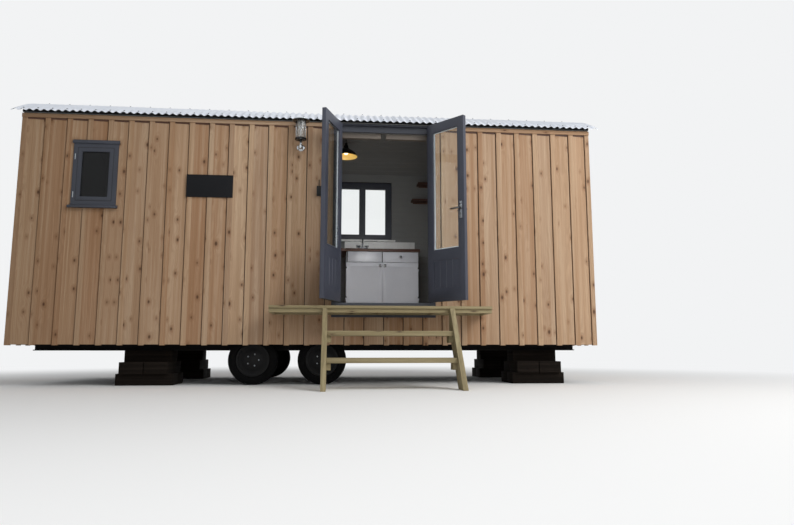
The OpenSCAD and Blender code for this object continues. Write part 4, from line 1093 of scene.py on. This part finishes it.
# dark red-brown strips under the eaves board, between the cover strips, are painted shade for the shadow in
# the gap there
eaveShadeStrip = {"least": 20 * mm, "in": 1 * mm, "deep": 12 * mm, "down": 17 * mm, "up": 2 * mm}
eaveShadeStrips = newBoards()
edges = stripEdges(leftEnd, rightEnd, seams)
for edge, following in zip(edges, edges[1:]):
    board = stripAt(edge, leftEnd)[1]
    for p, q in ((board, min(following, frameLow.x)), (max(board, frameHigh.x), following)):
        if q - p > eaveShadeStrip["least"]:
            addBox(eaveShadeStrips, (p + eaveShadeStrip["in"], frontFace + eaveShadeStrip["in"], friezeLow.z - eaveShadeStrip["down"]),
                   (q - eaveShadeStrip["in"], frontFace + eaveShadeStrip["deep"], friezeLow.z + eaveShadeStrip["up"]))
closeBoards(eaveShadeStrips, "eavesPaintedShadeStrips", [worktopWood])
under = {"in": 1 * mm, "out": 22 * mm, "foot": 122 * mm, "top": 96 * mm}
apron = newBoards()
addBox(apron, (frameLow.x + under["in"], frontFace - under["out"], frameLow.z - under["foot"]),
       (frameHigh.x - under["in"], frontFace - under["in"], frameLow.z - under["top"]))
closeBoards(apron, "doorApron", [slatePaint])
refine("slate_plate", [slateStone], width=1 * mm)
# porch lantern: wall plate, arm, three finials on a hub, neck, collar, guard rods and hood
lantern = {  # mm, and the rods as radius, from and to
    "out": 105, "down": 360, "arm": 52, "finials": 36, "guards": 61, "wallPlate": (40, 0, 12),
    "armRod": (9, 10, 105), "hub": (32, 24, 32), "neck": (12, 10, 125), "collar": (66, 118, 132),
    "stem": (6, 130, 339), "guard": (2.5, 125, 341), "rim": (93, 336, 341)}
finial = ((0, 0), (8, 2), (14, 14), (14, 42), (8, 54), (0, 56))
hood = ((0, 341), (96, 341), (96, 346), (90, 349), (50, 360), (0, 360))
lampLow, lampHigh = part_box("porch_lantern")
foot = Vector(((lampLow.x + lampHigh.x) / 2, frontFace - lantern["out"] * mm,
               lampHigh.z - lantern["down"] * mm))
upright = Matrix.Translation(foot)
outward = (Matrix.Translation((foot.x, frontFace - 0.5 * mm, foot.z + lantern["arm"] * mm))
           @ Matrix.Rotation(math.pi / 2, 4, "X"))
lamp = newBoards()
addRod(lamp, outward, *lantern["wallPlate"])
addRod(lamp, outward, *lantern["armRod"], 16)
addRod(lamp, upright, *lantern["hub"])
addRod(lamp, upright, *lantern["neck"], 16)
addRod(lamp, upright, *lantern["collar"], 32, 1)
addRod(lamp, upright, *lantern["stem"], 12)
for angle in (-90, 30, 150):
    turn = Matrix.Rotation(math.radians(angle), 4, "Z")
    addTurned(lamp, upright @ turn @ Matrix.Translation((lantern["finials"] * mm, 0, 0)), finial, 16)
for angle in range(30, 390, 60):
    turn = Matrix.Rotation(math.radians(angle), 4, "Z")
    aside = Matrix.Translation((lantern["guards"] * mm, 0, 0))
    addRod(lamp, upright @ turn @ aside, *lantern["guard"], 8)
addRod(lamp, upright, *lantern["rim"], 32, 1)
addTurned(lamp, upright, hood, 32)
smoothFaces(lamp)
closeBoards(lamp, "porchLantern", [stainless, blackEnamel], stands=("porch_lantern",))
refine("porch_lantern_glass", [tubeGlass], width=0, name="lanternGlass")
print("stage: joinery")


# landing and steps
climb = {"rise": 268, "going": 215}
deckScrews = {"rows": 5, "edge": 24 * mm, "out": (33, 122, 183, 272, 333, 422), "apart": 12 * mm,
              "sizes": (3.5, 4, 1.5)}
slope = math.atan2(climb["rise"], climb["going"])
lengthwise = (1, 0, 0)
refine("landing_boards", [treated], width=3 * mm, along=lengthwise, grain=11)
refine("landing_frame", [treated], width=2 * mm, grain=12)
refine("stringers", [treated], width=3 * mm, along=(0, math.cos(slope), math.sin(slope)),
       grain=13)
refine("treads", [treated], width=4 * mm, along=lengthwise, grain=14)
boardLow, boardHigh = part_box("landing_boards")
rows = []
for k in range(deckScrews["rows"]):
    span = boardHigh.x - boardLow.x - 2 * deckScrews["edge"]
    x = boardLow.x + deckScrews["edge"] + k * span / (deckScrews["rows"] - 1)
    for out in deckScrews["out"]:
        y, z = frontFace - out * mm, boardHigh.z + 0.5 * mm
        rows.append(((x - deckScrews["apart"], y, z), (x + deckScrews["apart"], y, z), 2, (0, 0, 1)))
addFixings("deckScrews", rows, screwSteel, deckScrews["sizes"])
print("stage: steps")


# chassis, wheels and cribs
nuts = {"count": 5, "circle": 65 * mm, "in": 29.5 * mm, "sizes": (10, 14, 16)}
for node in ("chassis_rails", "cross_members", "axle_left", "axle_right"):
    refine(node, [blackSteel], width=2 * mm)
for place in ("front_left", "front_right", "back_left", "back_right"):
    wheel = "wheel_" + place
    refine(wheel, [rimPaint], wheel)
    refine("tyre_" + place, [tyreRubber], wheel, width=0)
    low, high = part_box(wheel)
    centre = (low + high) / 2
    sign, y = (-1, low.y + nuts["in"]) if "front" in place else (1, high.y - nuts["in"])
    rows = []
    for k in range(nuts["count"]):
        turn = 2 * math.pi * k / nuts["count"]
        point = (centre.x + nuts["circle"] * math.cos(turn), y, centre.z + nuts["circle"] * math.sin(turn))
        rows.append((point, point, 1, (0, sign, 0)))
    addFixings(camelName("nuts_" + place), rows, screwSteel, nuts["sizes"], wheel)
for node in ("cribs_left", "cribs_right"):
    refine(node, [sleeper], width=6 * mm, along=lengthwise, grain=21)
print("stage: chassis and cribs")


# kitchen
refine("cupboard", [cabinetPaint], width=1 * mm)
cupLow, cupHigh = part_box("cupboard_door_left")
meeting = (cupHigh.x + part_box("cupboard_door_right")[0].x) / 2
knobs = {"out": 20 * mm, "wider": 1.3, "within": 70 * mm}
fronts = {}
for node, body in (("cupboard_door_left", "cup_door_left"), ("cupboard_door_right", "cup_door_right"),
                   ("drawer", "drawer_box")):
    fronts[node] = refine(node, [cabinetPaint, blackEnamel], body, width=1 * mm,
                          pick=inFrontOf(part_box(node)[0].y + knobs["out"]))
for node, front in fronts.items():
    # the knobs are broad turned ones
    tips = [v.co for v in front.data.vertices if v.co.y < cupLow.y + knobs["out"]
            and (node == "drawer" or abs(v.co.x - meeting) < knobs["within"])]
    for axis in (0, 2):
        middle = (min(c[axis] for c in tips) + max(c[axis] for c in tips)) / 2
        for c in tips:
            c[axis] = middle + (c[axis] - middle) * knobs["wider"]
refine("worktop", [worktopWood], width=2 * mm, along=lengthwise, grain=31)
topLow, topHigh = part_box("worktop")
refine("sink", [glazedClay], width=6 * mm)
sinkLow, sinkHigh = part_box("sink")
# dark strips in the gaps either side of the sink are painted shade, for the shadow in those gaps
joint = newBoards()
for x0, x1 in ((sinkLow.x - 9 * mm, sinkLow.x - 0.5 * mm), (sinkHigh.x + 0.5 * mm, sinkHigh.x + 10 * mm)):
    addBox(joint, (x0, sinkLow.y + 1 * mm, sinkLow.z + 1 * mm),
           (x1, sinkLow.y + 14 * mm, topLow.z - 0.5 * mm))
closeBoards(joint, "sinkSealant", [blackRubberAndShade])
# splashback boards up to the window board, and a trim round the window
splashLook = {"pitch": 90 * mm, "gap": 0.6 * mm, "arris": 3 * mm, "front": 10 * mm, "back": 0.5 * mm}
windowBoard = {"past": 50 * mm, "out": 62 * mm, "thick": 22 * mm}
trimWide = 26 * mm
rim0, foot, rim1, head = windowHole(backPaneLow, backPaneHigh)
splash = newBoards()
edges = spread(topLow.x + 2 * mm, topHigh.x - 2 * mm, splashLook["pitch"])
coatWall(splash, lambda u, v, d: (v, inBack - d, u), edges, topHigh.z + 1 * mm, lambda v: foot - 24 * mm, [],
         splashLook)
boardTop = foot - 1 * mm
addBox(splash, (rim0 - windowBoard["past"], inBack - windowBoard["out"], boardTop - windowBoard["thick"]),
       (rim1 + windowBoard["past"], inBack - 0.5 * mm, boardTop))
trim = newBoards()
for low, high in (((rim0 - trimWide, foot), (rim0, head)), ((rim1, foot), (rim1 + trimWide, head)),
                  ((rim0 - trimWide, head), (rim1 + trimWide, head + trimWide))):
    addBox(trim, (*low, 0.5 * mm), (*high, 13 * mm), lambda u, v, d: (u, inBack - d, v))
closeBoards(trim, "backWindowTrim", [shadeDarkenedLiningPaint])
closeBoards(splash, "windowBoardAndSplashback", [whiteGloss])
# bridge mixer tap: two pillars with cross handles, a bridge and a tall swan neck
mixer = {  # mm
    "reach": 60, "bridge": 92, "pipe": 9, "neckFoot": 100, "neckTop": 232, "bend": 46, "tip": 24,
    "handle": 120, "hub": (9, -9, 7), "arm": 36, "armRod": 6,
    "turned": 0.6, "steps": 12, "around": 16}  # radians, then counts
handleButton = ((0, 7.2), (7, 7.2), (7, 10), (0, 11))
pillarProfile = ((0, 0.2), (22, 0.2), (22, 6), (10, 14), (9, 84), (14, 90), (14, 106), (8, 112), (0, 112))
neckCollar = ((0, 80), (15, 80), (15, 108), (9, 114), (0, 114))
tapLow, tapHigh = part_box("tap")
tapFoot = Vector(((tapLow.x + tapHigh.x) / 2, tapHigh.y - 26 * mm, topHigh.z))
sideways = Matrix.Rotation(math.pi / 2, 4, "Y")
tap = newBoards()
for side in (-1, 1):
    pillar = Matrix.Translation(tapFoot + Vector((side * mixer["reach"] * mm, 0, 0)))
    addTurned(tap, pillar, pillarProfile, 20)
    hub = pillar @ Matrix.Translation((0, 0, mixer["handle"] * mm))
    addRod(tap, hub, *mixer["hub"], 16)
    addTurned(tap, hub, handleButton, 16, 1)
    for turn in (mixer["turned"], mixer["turned"] + math.pi / 2):
        across = hub @ Matrix.Rotation(turn, 4, "Z") @ sideways
        addRod(tap, across, mixer["armRod"], -mixer["arm"], mixer["arm"], 10)
addRod(tap, Matrix.Translation(tapFoot + Vector((0, 0, mixer["bridge"] * mm))) @ sideways, mixer["pipe"],
       -mixer["reach"], mixer["reach"], 16)
addTurned(tap, Matrix.Translation(tapFoot), neckCollar, 20)
path = [(0, mixer["neckFoot"]), (0, mixer["neckTop"] - mixer["bend"])]
for k in range(mixer["steps"]):
    turn = math.pi * (k + 1) / mixer["steps"]
    path.append((-mixer["bend"] * (1 - math.cos(turn)),
                 mixer["neckTop"] - mixer["bend"] * (1 - math.sin(turn))))
path.append((path[-1][0], path[-1][1] - mixer["tip"]))
neck = [tapFoot + Vector((0, y * mm, z * mm)) for y, z in path]
sideX = Vector(lengthwise)
rings = []
for k, point in enumerate(neck):
    up = sideX.cross((neck[min(k + 1, len(neck) - 1)] - neck[max(k - 1, 0)]).normalized())
    rings.append([tap.verts.new(point + mixer["pipe"] * mm * (math.cos(a) * sideX + math.sin(a) * up))
                  for a in (2 * math.pi * j / mixer["around"] for j in range(mixer["around"]))])
for near, far in zip(rings, rings[1:]):
    for j in range(mixer["around"]):
        beside = (j + 1) % mixer["around"]
        tap.faces.new((near[j], near[beside], far[beside], far[j]))
tap.faces.new(list(reversed(rings[0])))
tap.faces.new(rings[-1])
bmesh.ops.recalc_face_normals(tap, faces=tap.faces)
smoothFaces(tap)
closeBoards(tap, "mixerTap", [chrome, glazedClay], stands=("tap",))
# two shelves on battens, as the photo shows
shelf = {"down": 36 * mm, "apart": 255 * mm, "thick": 22 * mm, "batten": 20 * mm, "inset": 30 * mm}
shelfLow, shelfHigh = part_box("wall_shelf")
shelves = newBoards()
against = inBack - 0.5 * mm
for k, left in enumerate((shelfLow.x - 130 * mm, shelfLow.x - 40 * mm)):
    z = shelfHigh.z - shelf["down"] + k * shelf["apart"]
    for y0, z0, z1, inset in ((shelfLow.y, z, z + shelf["thick"], 0),
                              (inBack - shelf["batten"], z - shelf["batten"], z + 1 * mm, shelf["inset"])):
        section = [(y0, z0), (y0, z1), (against, z1), (against, z0)]
        addBoard(shelves, straight, section, lambda v: (left + inset, shelfHigh.x - inset), newGrain(),
                 1 * mm)
closeBoards(shelves, "wallShelves", [worktopWood], stands=("wall_shelf",))
# the worktop's end over a bay left of the cupboard
bayWide = 500 * mm
bay = newBoards()
section = [(topLow.y, topLow.z), (topLow.y, topHigh.z), (inBack, topHigh.z), (inBack, topLow.z)]
addBoard(bay, straight, section, lambda v: (topLow.x - bayWide, topLow.x - 0.5 * mm), newGrain())
closeBoards(bay, "worktopEnd", [worktopWood])
panel = newBoards()
panelX = topLow.x - bayWide + 2 * mm
addBox(panel, (panelX, topLow.y + 20 * mm, floorTop + 1 * mm),
       (panelX + 18 * mm, inBack - 11 * mm, topLow.z - 1 * mm))
closeBoards(panel, "bayEndPanel", [cabinetPaint])
# pendant lamp: a black shade, cream inside, with its bulb
bulb = {"radius": 31 * mm, "foot": 53 * mm, "head": 112.5 * mm, "down": 24 * mm, "moved": 105 * mm}
shade = {"head": 148 * mm, "holder": 20 * mm}
lampLow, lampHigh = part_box("pendant_lamp")
lampX, lampY = (lampLow.x + lampHigh.x) / 2, (lampLow.y + lampHigh.y) / 2


def lampParts(p, n):
    out = Vector((p.x - lampX, p.y - lampY))
    height = p.z - lampLow.z
    if out.length < bulb["radius"] and bulb["foot"] < height < bulb["head"]:
        return 2
    inward = n.x * out.x + n.y * out.y < 0 or n.z < -0.3
    return 1 if height < shade["head"] and inward and out.length > shade["holder"] else 0


pendant = refine("pendant_lamp", [blackEnamel, creamEnamel, bulbGlow], width=0,
                 pick=lampParts)
for vert in pendant.data.vertices:
    # the bulb hangs lower in its holder than the solid's, so it shows under the shade's rim
    away = math.hypot(vert.co.x - lampX, vert.co.y - lampY)
    if away < bulb["radius"] and bulb["foot"] < vert.co.z - lampLow.z < bulb["moved"]:
        vert.co.z -= bulb["down"]
refine("blind_cassettes", [shadeDarkenedBlindFabric], width=6 * mm)
print("stage: kitchen and lamp")
